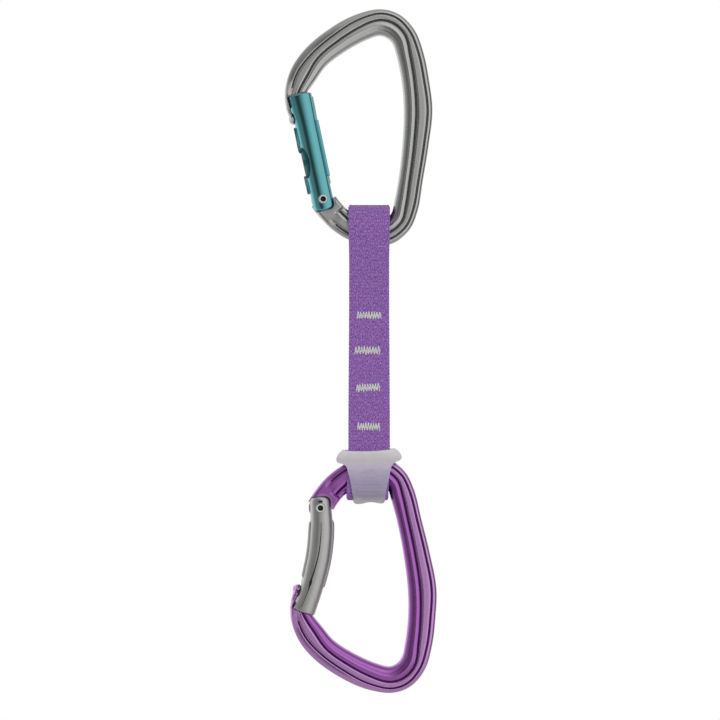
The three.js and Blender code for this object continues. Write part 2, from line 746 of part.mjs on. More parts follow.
const lower = carabiner("lower", BENT, LOWER_LEAN, LOOKS.violet, LOOKS.bright);
lower.position.set(LOWER_RIVET[0], 0, LOWER_RIVET[1]);
lower.rotation.set(Math.PI, LOWER_LEAN, 0);
quickdraw.add(lower);

quickdraw.add(piece("webbing_top_loop", topLoop(), LOOKS.webbing));
quickdraw.add(piece("webbing_front_ply", ply(-1), LOOKS.webbing));
quickdraw.add(piece("webbing_back_ply", ply(1), LOOKS.webbing));
quickdraw.add(piece("webbing_bottom_loop", bottomLoop(), LOOKS.webbing));
BARTACK_Z.forEach((z, i) => {
  quickdraw.add(piece(`bartack_${i + 1}_front_thread`, bartack(z, -1), LOOKS.thread));
  quickdraw.add(piece(`bartack_${i + 1}_back_thread`, bartack(z, 1), LOOKS.thread));
});
quickdraw.add(piece("rubber_keeper", keeper(), LOOKS.rubber));

export default quickdraw;
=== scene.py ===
"""Climbing quickdraw: two snap carabiners, a bartacked webbing sling and a rubber keeper.

Lengths are millimetres until a mesh is made; node settings, lights and the camera are in metres.
"""

import math
import random

import bmesh
import bpy
import numpy as np
from mathutils import Matrix, Vector


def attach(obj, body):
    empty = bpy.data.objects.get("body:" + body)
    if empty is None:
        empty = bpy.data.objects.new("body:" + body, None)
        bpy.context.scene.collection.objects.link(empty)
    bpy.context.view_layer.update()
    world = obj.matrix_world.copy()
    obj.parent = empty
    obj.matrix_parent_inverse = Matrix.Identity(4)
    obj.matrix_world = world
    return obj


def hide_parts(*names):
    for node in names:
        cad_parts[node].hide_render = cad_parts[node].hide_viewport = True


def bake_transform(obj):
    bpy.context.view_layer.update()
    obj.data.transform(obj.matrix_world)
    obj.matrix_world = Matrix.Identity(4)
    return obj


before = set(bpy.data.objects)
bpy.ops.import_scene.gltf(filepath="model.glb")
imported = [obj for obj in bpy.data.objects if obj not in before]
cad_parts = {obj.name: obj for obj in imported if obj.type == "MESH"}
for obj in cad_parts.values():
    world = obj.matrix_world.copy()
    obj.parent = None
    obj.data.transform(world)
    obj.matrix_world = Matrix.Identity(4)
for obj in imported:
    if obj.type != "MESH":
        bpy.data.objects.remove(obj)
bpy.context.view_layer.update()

MM = 0.001
LEAN = math.radians(4.5)  # of the lower carabiner, in its plane
LUG_HALF = 1.6
SLOT_HALF = 2.05
GATE_OPEN = math.radians(29)
GATE_GAP = 0.35  # between gate and forging
NOSE_GAP = 0.02  # the same, outside the gate's end
GATE_HALF = 4.9
PIN_RADIUS = 1.85
THROUGH = 9  # how far a cutter reaches from the middle plane to pass right through
WEB_X = -4.45

# A carabiner's own plane: the rivet at 0, x towards the spine, z from the rivet to the nose.
UPPER = Matrix.Translation((-23.3, 0, -67.3))
LOWER = (
    Matrix.Translation((-24.4, 0, -193.9))
    @ Matrix.Rotation(math.pi, 4, "X")
    @ Matrix.Rotation(LEAN, 4, "Y")
)


# --- Curves ---


def smooth(x, a, b):
    """0 before a, 1 after b, and smooth between."""
    t = np.clip((np.asarray(x, float) - a) / (b - a), 0, 1)
    return t * t * (3 - 2 * t)


def spline(points, at):
    """Centripetal Catmull-Rom through points, at parameters that count the points from 0."""
    p = np.array(points, float)
    p = np.vstack([2 * p[0] - p[1], p, 2 * p[-1] - p[-2]])
    out = []
    for t in np.atleast_1d(at):
        i = min(int(t), len(p) - 4)
        w = t - i
        a, b, c, d = p[i : i + 4]
        k0, k1, k2 = (max(np.linalg.norm(v - u), 1e-9) ** 0.5 for u, v in ((a, b), (b, c), (c, d)))
        m0 = ((b - a) / k0 - (c - a) / (k0 + k1) + (c - b) / k1) * k1
        m1 = ((c - b) / k1 - (d - b) / (k1 + k2) + (d - c) / k2) * k1
        out.append(b + m0 * w + (3 * (c - b) - 2 * m0 - m1) * w**2 + (2 * (b - c) + m0 + m1) * w**3)
    return np.array(out)


# --- Meshes ---


def mesh_object(name, verts, faces, where=None):
    """verts in millimetres, moved by where, then stored in metres."""
    m = where if where is not None else Matrix.Identity(4)
    co = np.array(verts, float)
    r = np.array(m.to_3x3())
    co = (co @ r.T + np.array(m.translation)) * MM
    me = bpy.data.meshes.new(name)
    me.from_pydata(co.tolist(), [], faces)
    o = bpy.data.objects.new(name, me)
    bpy.context.scene.collection.objects.link(o)
    bm = bmesh.new()
    bm.from_mesh(me)
    bmesh.ops.recalc_face_normals(bm, faces=bm.faces)
    bm.to_mesh(me)
    bm.free()
    return o


def loft(rings, caps=True):
    """Vertices and faces of a skin through rings of equal length."""
    n = len(rings[0])
    verts = [tuple(p) for ring in rings for p in ring]
    faces = []
    for r in range(len(rings) - 1):
        for i in range(n):
            j = (i + 1) % n
            faces.append((r * n + i, r * n + j, (r + 1) * n + j, (r + 1) * n + i))
    if caps:
        faces.append(tuple(range(n)))
        faces.append(tuple((len(rings) - 1) * n + i for i in range(n)))
    return verts, faces


def prism(name, outline, y0, y1, where=None):
    """An outline of (x, z) points made solid from y0 to y1."""
    rings = [[(x, y, z) for x, z in outline] for y in (y0, y1)]
    return mesh_object(name, *loft(rings), where=where)


def evaluated(o):
    """o's mesh with its modifiers applied."""
    ready = o.evaluated_get(bpy.context.evaluated_depsgraph_get())
    return bpy.data.meshes.new_from_object(ready)


def combine(o, other, operation):
    """o joined with, cut by or cut to other, which goes."""
    mod = o.modifiers.new("cut", "BOOLEAN")
    mod.operation = operation
    mod.object = other
    mod.solver = "MANIFOLD"
    bpy.context.view_layer.update()
    made = evaluated(o)
    o.modifiers.remove(mod)
    o.data = made
    bpy.data.objects.remove(other)
    return o


def finish_mesh(o, material, angle, others=()):
    """Smooth shading that breaks at edges sharper than an angle in degrees, and the materials."""
    marks = [f.material_index for f in o.data.polygons]
    o.data.materials.clear()
    o.data.materials.append(material)
    if others:
        for other in others:
            o.data.materials.append(other)
        for f, mark in zip(o.data.polygons, marks):
            f.material_index = mark
    o.data.shade_smooth()
    o.data.set_sharp_from_angle(angle=math.radians(angle))
    return o


def place(o, body, slot, *nodes):
    """o rides on a body and stands for CAD nodes, which it hides; slot is not used."""
    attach(o, body)
    if nodes:
        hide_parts(*nodes)
    return o


def rounded_box(name, lo, hi, radius, where, segments):
    """A box from lo to hi with all its edges rounded."""
    bm = bmesh.new()
    bmesh.ops.create_cube(bm, size=1)
    for v in bm.verts:
        v.co = Vector([lo[k] if v.co[k] < 0 else hi[k] for k in range(3)])
    bmesh.ops.bevel(
        bm, geom=bm.edges[:], offset=radius, segments=segments, profile=0.5, affect="EDGES"
    )
    verts = [tuple(v.co) for v in bm.verts]
    faces = [tuple(v.index for v in f.verts) for f in bm.faces]
    bm.free()
    return mesh_object(name, verts, faces, where)


def turned(name, profile, sides, where):
    """A closed (radius, height) profile turned about the Y axis."""
    rings = []
    for k in range(sides):
        a = 2 * math.pi * k / sides
        rings.append([(r * math.cos(a), y, r * math.sin(a)) for r, y in profile])
    rings.append(rings[0])
    o = mesh_object(name, *loft(rings, caps=False), where=where)
    bm = bmesh.new()
    bm.from_mesh(o.data)
    bmesh.ops.remove_doubles(bm, verts=bm.verts, dist=1e-7)
    bmesh.ops.recalc_face_normals(bm, faces=bm.faces)
    bm.to_mesh(o.data)
    bm.free()
    return o


# --- Materials ---


class Nodes:
    """A short way to write a node tree."""

    def __init__(self, owner):
        owner.use_nodes = True
        self.tree = owner.node_tree
        self.tree.nodes.clear()

    def add(self, kind, **inputs):
        node = self.tree.nodes.new(kind)
        for key, value in inputs.items():
            if hasattr(node, key):
                setattr(node, key, value)
            else:
                node.inputs[key.replace("_", " ")].default_value = value
        return node

    def link(self, a, b):
        self.tree.links.new(a, b)

    def coords(self, kind="Object"):
        return self.add("ShaderNodeTexCoord").outputs[kind]

    def split(self, vector):
        node = self.add("ShaderNodeSeparateXYZ")
        self.link(vector, node.inputs[0])
        return tuple(node.outputs)

    def noise(self, vector, scale, detail, rough):
        n = self.add("ShaderNodeTexNoise", Scale=scale, Detail=detail, Roughness=rough)
        self.link(vector, n.inputs["Vector"])
        return n.outputs["Fac"]

    def ramp(self, fac, *stops):
        r = self.add("ShaderNodeValToRGB")
        elements = r.color_ramp.elements
        while len(elements) < len(stops):
            elements.new(0.5)
        for e, (at, value) in zip(elements, stops):
            e.position = at
            e.color = value if len(value) == 4 else (*value, 1)
        self.link(fac, r.inputs["Fac"])
        return r.outputs["Color"]

    def value(self, fac, low, high, start=0.0, end=1.0, kind="LINEAR"):
        """low to high while fac goes from start to end."""
        m = self.add("ShaderNodeMapRange", To_Min=low, To_Max=high, From_Min=start, From_Max=end)
        m.interpolation_type = kind
        self.link(fac, m.inputs["Value"])
        return m.outputs["Result"]

    def math(self, operation, a, b=None):
        m = self.add("ShaderNodeMath")
        m.operation = operation
        for k, v in enumerate((a, b)):
            if v is None:
                continue
            if isinstance(v, (int, float)):
                m.inputs[k].default_value = v
            else:
                self.link(v, m.inputs[k])
        return m.outputs[0]

    def mix(self, fac, a, b, blend="MIX"):
        m = self.add("ShaderNodeMix")
        m.data_type = "RGBA"
        m.blend_type = blend
        for socket, v in ((m.inputs["Factor"], fac), (m.inputs["A"], a), (m.inputs["B"], b)):
            if isinstance(v, (int, float)):
                socket.default_value = v
            elif isinstance(v, tuple):
                socket.default_value = (*v, 1) if len(v) == 3 else v
            else:
                self.link(v, socket)
        return m.outputs["Result"]

    def bump(self, height, distance, strength, normal=None):
        b = self.add("ShaderNodeBump", Strength=strength, Distance=distance)
        self.link(height, b.inputs["Height"])
        if normal is not None:
            self.link(normal, b.inputs["Normal"])
        return b.outputs["Normal"]

    def soft_edges(self, radius):
        return self.add("ShaderNodeBevel", samples=4, Radius=radius).outputs["Normal"]


class Surface(Nodes):
    """A material's nodes, with its shader and output."""

    def __init__(self, name):
        self.material = bpy.data.materials.new(name)
        super().__init__(self.material)
        self.shader = self.add("ShaderNodeBsdfPrincipled")
        out = self.add("ShaderNodeOutputMaterial")
        self.link(self.shader.outputs[0], out.inputs["Surface"])

    def set(self, **values):
        for key, value in values.items():
            self.shader.inputs[key.replace("_", " ")].default_value = value

    def feed(self, **sources):
        for key, source in sources.items():
            self.link(source, self.shader.inputs[key.replace("_", " ")])


def anodised(name, color, dark, roughness, grain, coat=0.0, edge=0.00022):
    """Bead-blasted, anodised aluminium: fine grain, cloudy tone, and soft edges if edge isn't 0."""
    n = Surface(name)
    at = n.coords()
    cloud = n.noise(at, 160.0, 4.0, 0.6)
    fine = n.noise(at, 2600.0, 2.0, 0.6)
    tone = n.mix(n.value(cloud, 0.0, 1.0), dark, color)
    speck = n.ramp(fine, (0.3, (0.9, 0.9, 0.9)), (0.7, (1.06, 1.06, 1.06)))
    n.feed(Base_Color=n.mix(1.0, tone, speck, "MULTIPLY"))
    n.feed(Roughness=n.value(cloud, roughness - 0.05, roughness + 0.06))
    n.set(Metallic=1.0, Coat_Weight=coat, Coat_Roughness=0.12)
    n.feed(Normal=n.bump(fine, grain, 0.5, n.soft_edges(edge) if edge else None))
    return n.material


def steel(name, color, roughness):
    """Bright drawn or turned steel with faint turning marks."""
    n = Surface(name)
    at = n.coords()
    marks = n.noise(at, 1800.0, 2.0, 0.7)
    tone = n.ramp(marks, (0.2, tuple(c * 0.86 for c in color)), (0.8, color))
    n.feed(Base_Color=tone, Roughness=n.value(marks, roughness - 0.06, roughness + 0.08))
    n.set(Metallic=1.0)
    n.feed(Normal=n.bump(marks, 0.00001, 0.4, n.soft_edges(0.0001)))
    return n.material


def webbing_material(name):
    """Narrow woven tape: steep little stitches in columns and a fleck of tone.

    The map's U runs across the tape and V along it, both in millimetres.
    """
    n = Surface(name)
    uv = n.coords("UV")
    u, v, _ = n.split(uv)
    wobble = n.noise(uv, 0.9, 2.0, 0.5)
    column = 0.95
    course = 1.3
    cu = n.math("ADD", n.math("DIVIDE", u, column), n.math("MULTIPLY", wobble, 0.45))
    fu = n.math("PINGPONG", cu, 0.5)
    rise = n.math("MULTIPLY", fu, 1.15)
    fv = n.math("FRACT", n.math("ADD", n.math("DIVIDE", v, course), rise))
    along = n.math("SINE", n.math("MULTIPLY", fv, math.pi))
    across = n.math("SINE", n.math("MULTIPLY", n.math("MULTIPLY", fu, 2.0), math.pi))
    lens = n.math("MULTIPLY", along, across)
    yarn = n.math("POWER", n.math("MAXIMUM", lens, 0.0), 0.55)
    fleck = n.add("ShaderNodeTexNoise", Scale=1.0, Detail=4.0, Roughness=0.65)
    stretch = n.add("ShaderNodeMapping")
    stretch.inputs["Scale"].default_value = (2.6, 1.0, 1.0)
    n.link(uv, stretch.inputs["Vector"])
    n.link(stretch.outputs[0], fleck.inputs["Vector"])
    base = n.ramp(
        fleck.outputs["Fac"],
        (0.36, (0.270, 0.092, 0.520)),
        (0.5, (0.480, 0.206, 0.780)),
        (0.63, (0.780, 0.420, 0.950)),
    )
    # Where the yarn dips between stitches the colour darkens: painted shade in the weave's gaps.
    deep = n.mix(n.value(yarn, 0.36, 0.0), base, (0.13, 0.040, 0.255))
    n.feed(Base_Color=deep)
    n.set(Roughness=0.82, Sheen_Weight=0.35, Sheen_Roughness=0.4, Sheen_Tint=(0.80, 0.66, 0.95, 1.0))
    n.feed(Normal=n.bump(yarn, 0.0003, 1.0))
    return n.material


def thread_material(name):
    """Off-white bonded sewing thread with a laid twist."""
    n = Surface(name)
    uv = n.coords("UV")
    wave = n.add(
        "ShaderNodeTexWave", Scale=1.3, Distortion=0.6, Detail=1.0, bands_direction="DIAGONAL"
    )
    n.link(uv, wave.inputs["Vector"])
    tone = n.ramp(wave.outputs["Fac"], (0.1, (0.74, 0.76, 0.70)), (0.8, (0.96, 0.97, 0.92)))
    n.set(Roughness=0.6, Sheen_Weight=0.3)
    n.feed(Base_Color=tone, Normal=n.bump(wave.outputs["Fac"], 0.00005, 0.8))
    return n.material


KEEPER_FOOT = -192.4
KEEPER_EARS = -169.6


def rubber_material(name):
    """Milky translucent moulded rubber: thin and clear in the middle, thicker at ears and foot."""
    n = Surface(name)
    at = n.coords()
    cloud = n.noise(at, 260.0, 4.0, 0.6)
    height = n.value(n.split(at)[2], 0.0, 1.0, KEEPER_FOOT * MM, KEEPER_EARS * MM)
    drift = n.math("MULTIPLY", n.math("SUBTRACT", cloud, 0.5), 0.16)
    mottle = n.math("ADD", height, drift)
    tone = n.ramp(
        mottle,
        (0.04, (0.70, 0.63, 0.61)),
        (0.14, (0.54, 0.49, 0.62)),
        (0.40, (0.62, 0.56, 0.74)),
        (0.66, (0.83, 0.76, 0.93)),
        (0.80, (0.76, 0.73, 0.75)),
        (0.97, (0.92, 0.90, 0.91)),
    )
    solid = n.ramp(
        mottle,
        (0.05, (0.92, 0.92, 0.92)),
        (0.16, (0.60, 0.60, 0.60)),
        (0.60, (0.58, 0.58, 0.58)),
        (0.76, (0.80, 0.80, 0.80)),
        (0.98, (0.90, 0.90, 0.90)),
    )
    n.feed(Base_Color=tone, Alpha=solid, Roughness=n.value(cloud, 0.34, 0.5))
    n.set(IOR=1.42)
    n.feed(Normal=n.bump(n.noise(at, 3200.0, 2.0, 0.6), 0.00002, 0.5))
    return n.material


GRAIN = 0.000004
GREY = anodised("grey_anodised", (0.47, 0.47, 0.463), (0.44, 0.44, 0.435), 0.27, GRAIN, 0.0, 0)
# Painted shade: near-black grey on the grey frame's groove floors.
GREY_GROOVE_SHADE = anodised("grey_groove_painted_shade", (0.17, 0.17, 0.168), (0.14, 0.14, 0.138), 0.45, GRAIN, 0.0, 0)
# The violet comes twice: lighter here for the land and outer rim, darker below for the inner rim; the
# difference is painted light and shade.
VIOLET = anodised("violet_anodised", (0.575, 0.315, 0.635), (0.53, 0.265, 0.60), 0.27, GRAIN, 0.05, 0)
VIOLET_RIM_SHADE = anodised("violet_inner_rim_painted_shade", (0.42, 0.155, 0.50), (0.37, 0.12, 0.45), 0.27, GRAIN, 0.05, 0)
# Painted shade: near-black violet on the violet frame's groove floors.
VIOLET_GROOVE_SHADE = anodised("violet_groove_painted_shade", (0.15, 0.035, 0.19), (0.12, 0.025, 0.16), 0.45, GRAIN, 0.0, 0)
TEAL = anodised("teal_anodised", (0.135, 0.43, 0.47), (0.11, 0.39, 0.43), 0.13, GRAIN / 2, 0.4)
SATIN = anodised("satin_gate", (0.50, 0.50, 0.49), (0.45, 0.45, 0.44), 0.38, GRAIN)
RIVET = steel("rivet_steel", (0.80, 0.79, 0.78), 0.2)
WIRE = steel("spring_steel", (0.66, 0.66, 0.67), 0.25)
# Painted shade: near black, for the hollows in the rivets' heads and the crease and window of the bent
# gate.
HOLLOW_SHADE = steel("painted_hollow_shade", (0.05, 0.05, 0.05), 0.5)
# Painted shade: near-black teal for the finger scoops' faces.
SCOOP_SHADE = anodised("teal_scoop_painted_shade", (0.006, 0.055, 0.065), (0.004, 0.045, 0.055), 0.3, GRAIN, 0.0, 0)
WEB = webbing_material("violet_webbing")
THREAD = thread_material("white_thread")
RUBBER = rubber_material("milky_rubber")


# --- Forging ---

# Rungs across the forging from the lug round the small end, up the spine, over the basket to the
# nose: outer point, inner point, width of the inner rim, width of the outer rim.
RUNGS = [
    (-4.8, -2.9, 5.2, 1.3, 2.0, 2.6),
    (-1.7, -7.0, 7.3, -1.4, 2.6, 2.6),
    (3.4, -12.1, 10.3, -4.4, 2.8, 2.4),
    (10.6, -16.6, 14.6, -6.7, 3.4, 2.2),
    (19.6, -19.1, 19.8, -8.5, 4.4, 2.1),
    (28.8, -17.9, 25.0, -8.6, 5.2, 2.1),
    (35.6, -12.2, 28.0, -5.6, 5.4, 2.0),
    (38.9, -4.4, 29.2, -0.8, 5.0, 2.0),
    (41.0, 8.0, 31.0, 9.0, 4.5, 1.9),
    (43.3, 22.0, 32.5, 22.5, 4.7, 2.0),
    (44.9, 36.5, 33.1, 36.5, 5.0, 2.1),
    (43.6, 48.5, 32.3, 48.0, 5.0, 2.2),
    (41.3, 60.0, 30.2, 58.7, 5.3, 2.2),
    (37.6, 69.6, 28.4, 64.2, 5.9, 2.2),
    (31.2, 76.1, 26.0, 66.6, 6.0, 2.1),
    (23.4, 78.2, 23.1, 67.5, 5.8, 2.1),
    (12.6, 75.7, 18.2, 66.0, 5.4, 2.7),
    (2.4, 70.1, 9.6, 61.4, 4.8, 3.4),
    (-7.2, 62.2, 1.2, 55.1, 4.3, 3.6),
    (-13.2, 53.8, -3.4, 48.8, 3.6, 3.2),
    (-15.8, 44.6, -7.2, 43.2, 3.0, 2.8),
    (-15.4, 38.2, -9.8, 37.8, 2.0, 2.2),
    (-13.9, 33.6, -10.3, 33.8, 1.4, 1.6),
    (-12.9, 31.0, -11.1, 30.9, 0.8, 0.9),
]
# Half thicknesses, and the height of the forging's rounded edges.
LAND = 4.1
CROWN = 4.7
INNER_EDGE = 0.9
OUTER_EDGE = 1.3
GROOVE = 0.72  # width of the inner groove, and its rim's fall below the crown


def quarter(n, power):
    """Sine and cosine of a quarter turn in n steps, squared off by a power."""
    a = np.linspace(0, math.pi / 2, n)
    return np.sin(a) ** power, np.cos(a) ** power


def section(width, inner, outer, s):
    """Distances from the inner edge and half thicknesses of one section, at rung s."""
    rise, left = quarter(15, 0.86)
    turn, fall = quarter(15, 0.9)
    peak = 0.5 * inner
    groove = width - outer
    step = float(smooth(s, 16.6, 18.0) * (1 - smooth(s, 20.4, 21.2)))
    inner_cut = float(smooth(s, 1.5, 1.6) * (1 - smooth(s, 20.0, 20.9)))
    outer_cut = float(smooth(s, 1.55, 2.2) * (1 - smooth(s, 19.4, 20.3)))
    slope = np.linspace(0, 1, 9)[1:]
    rim_d = [peak * (1 - left), peak + (inner - 0.28 - peak) * slope]
    band = CROWN - 0.34 * np.exp(-((slope / 0.22) ** 2)) - GROOVE * slope**2.4
    rim_h = [INNER_EDGE + (CROWN - 0.34 - INNER_EDGE) * rise, band]
    low = CROWN - GROOVE
    cut_d = inner + np.array([-0.14, -0.02, 0.08, 0.36, 0.48, 0.58, GROOVE])
    cut_h = np.array([low - 0.3, 3.15, 3.0, 3.0, 3.2, LAND - 0.08, LAND])
    land_d = np.linspace(inner + GROOVE, groove - 0.62, 5)[1:]
    land_h = np.full(4, LAND)
    edge = 3.62 - 0.8 * step
    lip_d = groove + np.array([-0.55, -0.42, -0.24, 0.18, 0.32, 0.42])
    deep = edge - 0.85
    lip_h = np.array([LAND - 0.02, LAND - 0.12, deep, deep, edge - 0.1, edge])
    out_d = groove + 0.42 + (outer - 0.42) * turn[1:]
    out_h = OUTER_EDGE + (edge - OUTER_EDGE) * fall[1:]
    d = np.concatenate(rim_d + [cut_d, land_d, lip_d, out_d])
    full = np.concatenate(rim_h + [cut_h, land_h, lip_h, out_h])
    near_in = np.clip(1 - d / 1.3, 0, 1) ** 2.2
    near_out = np.clip((d - width + 1.3) / 1.3, 0, 1) ** 2.2
    plain_in = INNER_EDGE + 3.1 * np.sqrt(np.clip(1 - near_in, 0, 1))
    plain_out = OUTER_EDGE + 2.7 * np.sqrt(np.clip(1 - near_out, 0, 1))
    plain = np.minimum(plain_in, plain_out)
    inside = d < inner + 0.73
    plain = plain - np.where(inside, 0.55 * math.exp(-(((s - 1.46) / 0.05) ** 2)), 0.0)
    keep = np.where(inside, inner_cut, outer_cut)
    return d, keep * full + (1 - keep) * plain


def nose_share(s):
    """How thick the nose still is: a neck behind the rounded catch at its tip."""
    neck = 1 - 0.42 * smooth(s, 21.05, 21.25) + 0.30 * smooth(s, 21.55, 21.8)
    return float(neck * (1 - 0.25 * smooth(s, 22.4, 23.0)))


def forging_mesh(name, where, gate):
    """The forged body, with the space its gate sweeps cut out of it and the lug put back."""
    steps = np.concatenate([np.linspace(0, len(RUNGS) - 1, 470), np.linspace(1.4, 1.7, 25)])
    steps = np.unique(np.round(steps, 4))
    outer = spline([(x, z) for x, z, *_ in RUNGS], steps)
    inner = spline([r[2:4] for r in RUNGS], steps)
    widths = spline([r[4:6] for r in RUNGS], steps)
    rings = []
    for k, s in enumerate(steps):
        across = outer[k] - inner[k]
        width = np.linalg.norm(across)
        across = across / width
        d, h = section(width, widths[k][0], widths[k][1], s)
        h = h * nose_share(s)
        xz = inner[k] + d[:, None] * across
        front = [(x, -t, z) for (x, z), t in zip(xz, h)]
        back = [(x, t, z) for (x, z), t in zip(xz, h)][::-1]
        rings.append(front + back)
    o = mesh_object(name, *loft(rings))
    mark_grooves(o, steps, len(rings[0]))
    pocket = None
    swings = 12
    for i in range(swings):
        turn = Matrix.Rotation(i / (swings - 1) * GATE_OPEN, 4, "Y")
        cut = prism("cut", gate.outline(GATE_GAP), -THROUGH, THROUGH, turn)
        pocket = cut if pocket is None else combine(pocket, cut, "UNION")
    slab = rounded_box("slab", (-60, -LUG_HALF, -60), (60, LUG_HALF, 100), 0.01, None, 1)
    combine(pocket, slab, "DIFFERENCE")
    combine(o, pocket, "DIFFERENCE")
    combine(o, lug(gate), "UNION")
    trim = prism("trim", gate.lug_trim(), -LUG_HALF - 0.01, LUG_HALF + 0.01)
    combine(o, trim, "DIFFERENCE")
    combine(o, nose_catch(), "UNION")
    combine(o, pin_hole(), "DIFFERENCE")
    drop_slivers(o)
    return moved(o, where)


# Segments of a ring that are the grooves' floors, and the rungs between which the grooves run.
INNER_FLOOR = (24, 25)
OUTER_FLOOR = (35, 36)
INNER_RUN = (1.58, 20.4)
OUTER_RUN = (2.0, 19.8)
LUG_END = 4.2


def mark_grooves(o, steps, around):
    """The floors of the two grooves take the second material, painted shade; the inner rim the third,
    painted shade on the violet frame.
    """
    for f in o.data.polygons[: (len(steps) - 1) * around]:
        ring, at = divmod(f.index, around)
        seg = at if at < around // 2 else around - 2 - at
        s = steps[ring]
        inner = seg in INNER_FLOOR and INNER_RUN[0] < s < INNER_RUN[1]
        outer = seg in OUTER_FLOOR and OUTER_RUN[0] < s < OUTER_RUN[1]
        rim = seg < INNER_FLOOR[0] - 1 or s < LUG_END
        f.material_index = 1 if inner or outer else 2 if rim else 0


def moved(o, where):
    """o, drawn in the forging's own plane, put where the carabiner is."""
    o.data.transform(Matrix.Scale(MM, 4) @ where @ Matrix.Scale(1 / MM, 4))
    return o


def circle(x, z, r, n):
    turns = [2 * math.pi * k / n for k in range(n)]
    return [(x + r * math.cos(a), z + r * math.sin(a)) for a in turns]


def pin_hole():
    """The cutter for the rivet's hole."""
    return prism("pin", circle(0, 0, PIN_RADIUS, 40), -THROUGH, THROUGH)


def rotate(points, angle):
    """Turns (x, z) points so that +z leans towards +x."""
    c, s = math.cos(angle), math.sin(angle)
    return [(x * c + z * s, z * c - x * s) for x, z in points]


LUG_RADIUS = 4.9
LUG_FLAT = 4.3  # height of the flat on the lug's top
LUG_SIDE = 3.3


def lug(gate):
    """The tongue inside the gate's slot: round about the rivet, flat on top."""
    rise = math.acos(LUG_FLAT / LUG_RADIUS)
    arc = np.linspace(math.pi / 2 + rise, 2 * math.pi - 0.35, 40)
    points = [(LUG_SIDE, LUG_FLAT), (-LUG_RADIUS * math.sin(rise), LUG_FLAT)]
    points += [(LUG_RADIUS * math.cos(a), LUG_RADIUS * math.sin(a)) for a in arc]
    return prism("lug", rotate(points, gate.lean), -LUG_HALF, LUG_HALF)


def nose_catch():
    """The rounded catch at the nose's tip, beside the gate."""
    (cx, cz), (wide, thick, tall), skew = (-12.72, 32.85), (1.45, 2.75, 1.9), 0.12
    rings = []
    for k in range(1, 24):
        a = math.pi * (k / 24 - 0.5)
        r = math.cos(a) ** 0.8
        y = thick * math.sin(a)
        ring = circle(0, 0, 1, 28)
        rings.append([(cx + wide * r * x - skew * r * z, y, cz + tall * r * z) for x, z in ring])
    return mesh_object("catch", *loft(rings))


def drop_slivers(o):
    """Keeps the largest body of a mesh."""
    bm = bmesh.new()
    bm.from_mesh(o.data)
    bm.verts.ensure_lookup_table()
    seen, best = set(), []
    for v in bm.verts:
        if v.index in seen:
            continue
        stack, part = [v], []
        seen.add(v.index)
        while stack:
            w = stack.pop()
            part.append(w)
            for e in w.link_edges:
                x = e.other_vert(w)
                if x.index not in seen:
                    seen.add(x.index)
                    stack.append(x)
        if len(part) > len(best):
            best = part
    keep = set(v.index for v in best)
    bmesh.ops.delete(bm, geom=[v for v in bm.verts if v.index not in keep], context="VERTS")
    bm.to_mesh(o.data)
    bm.free()


# --- Gates ---


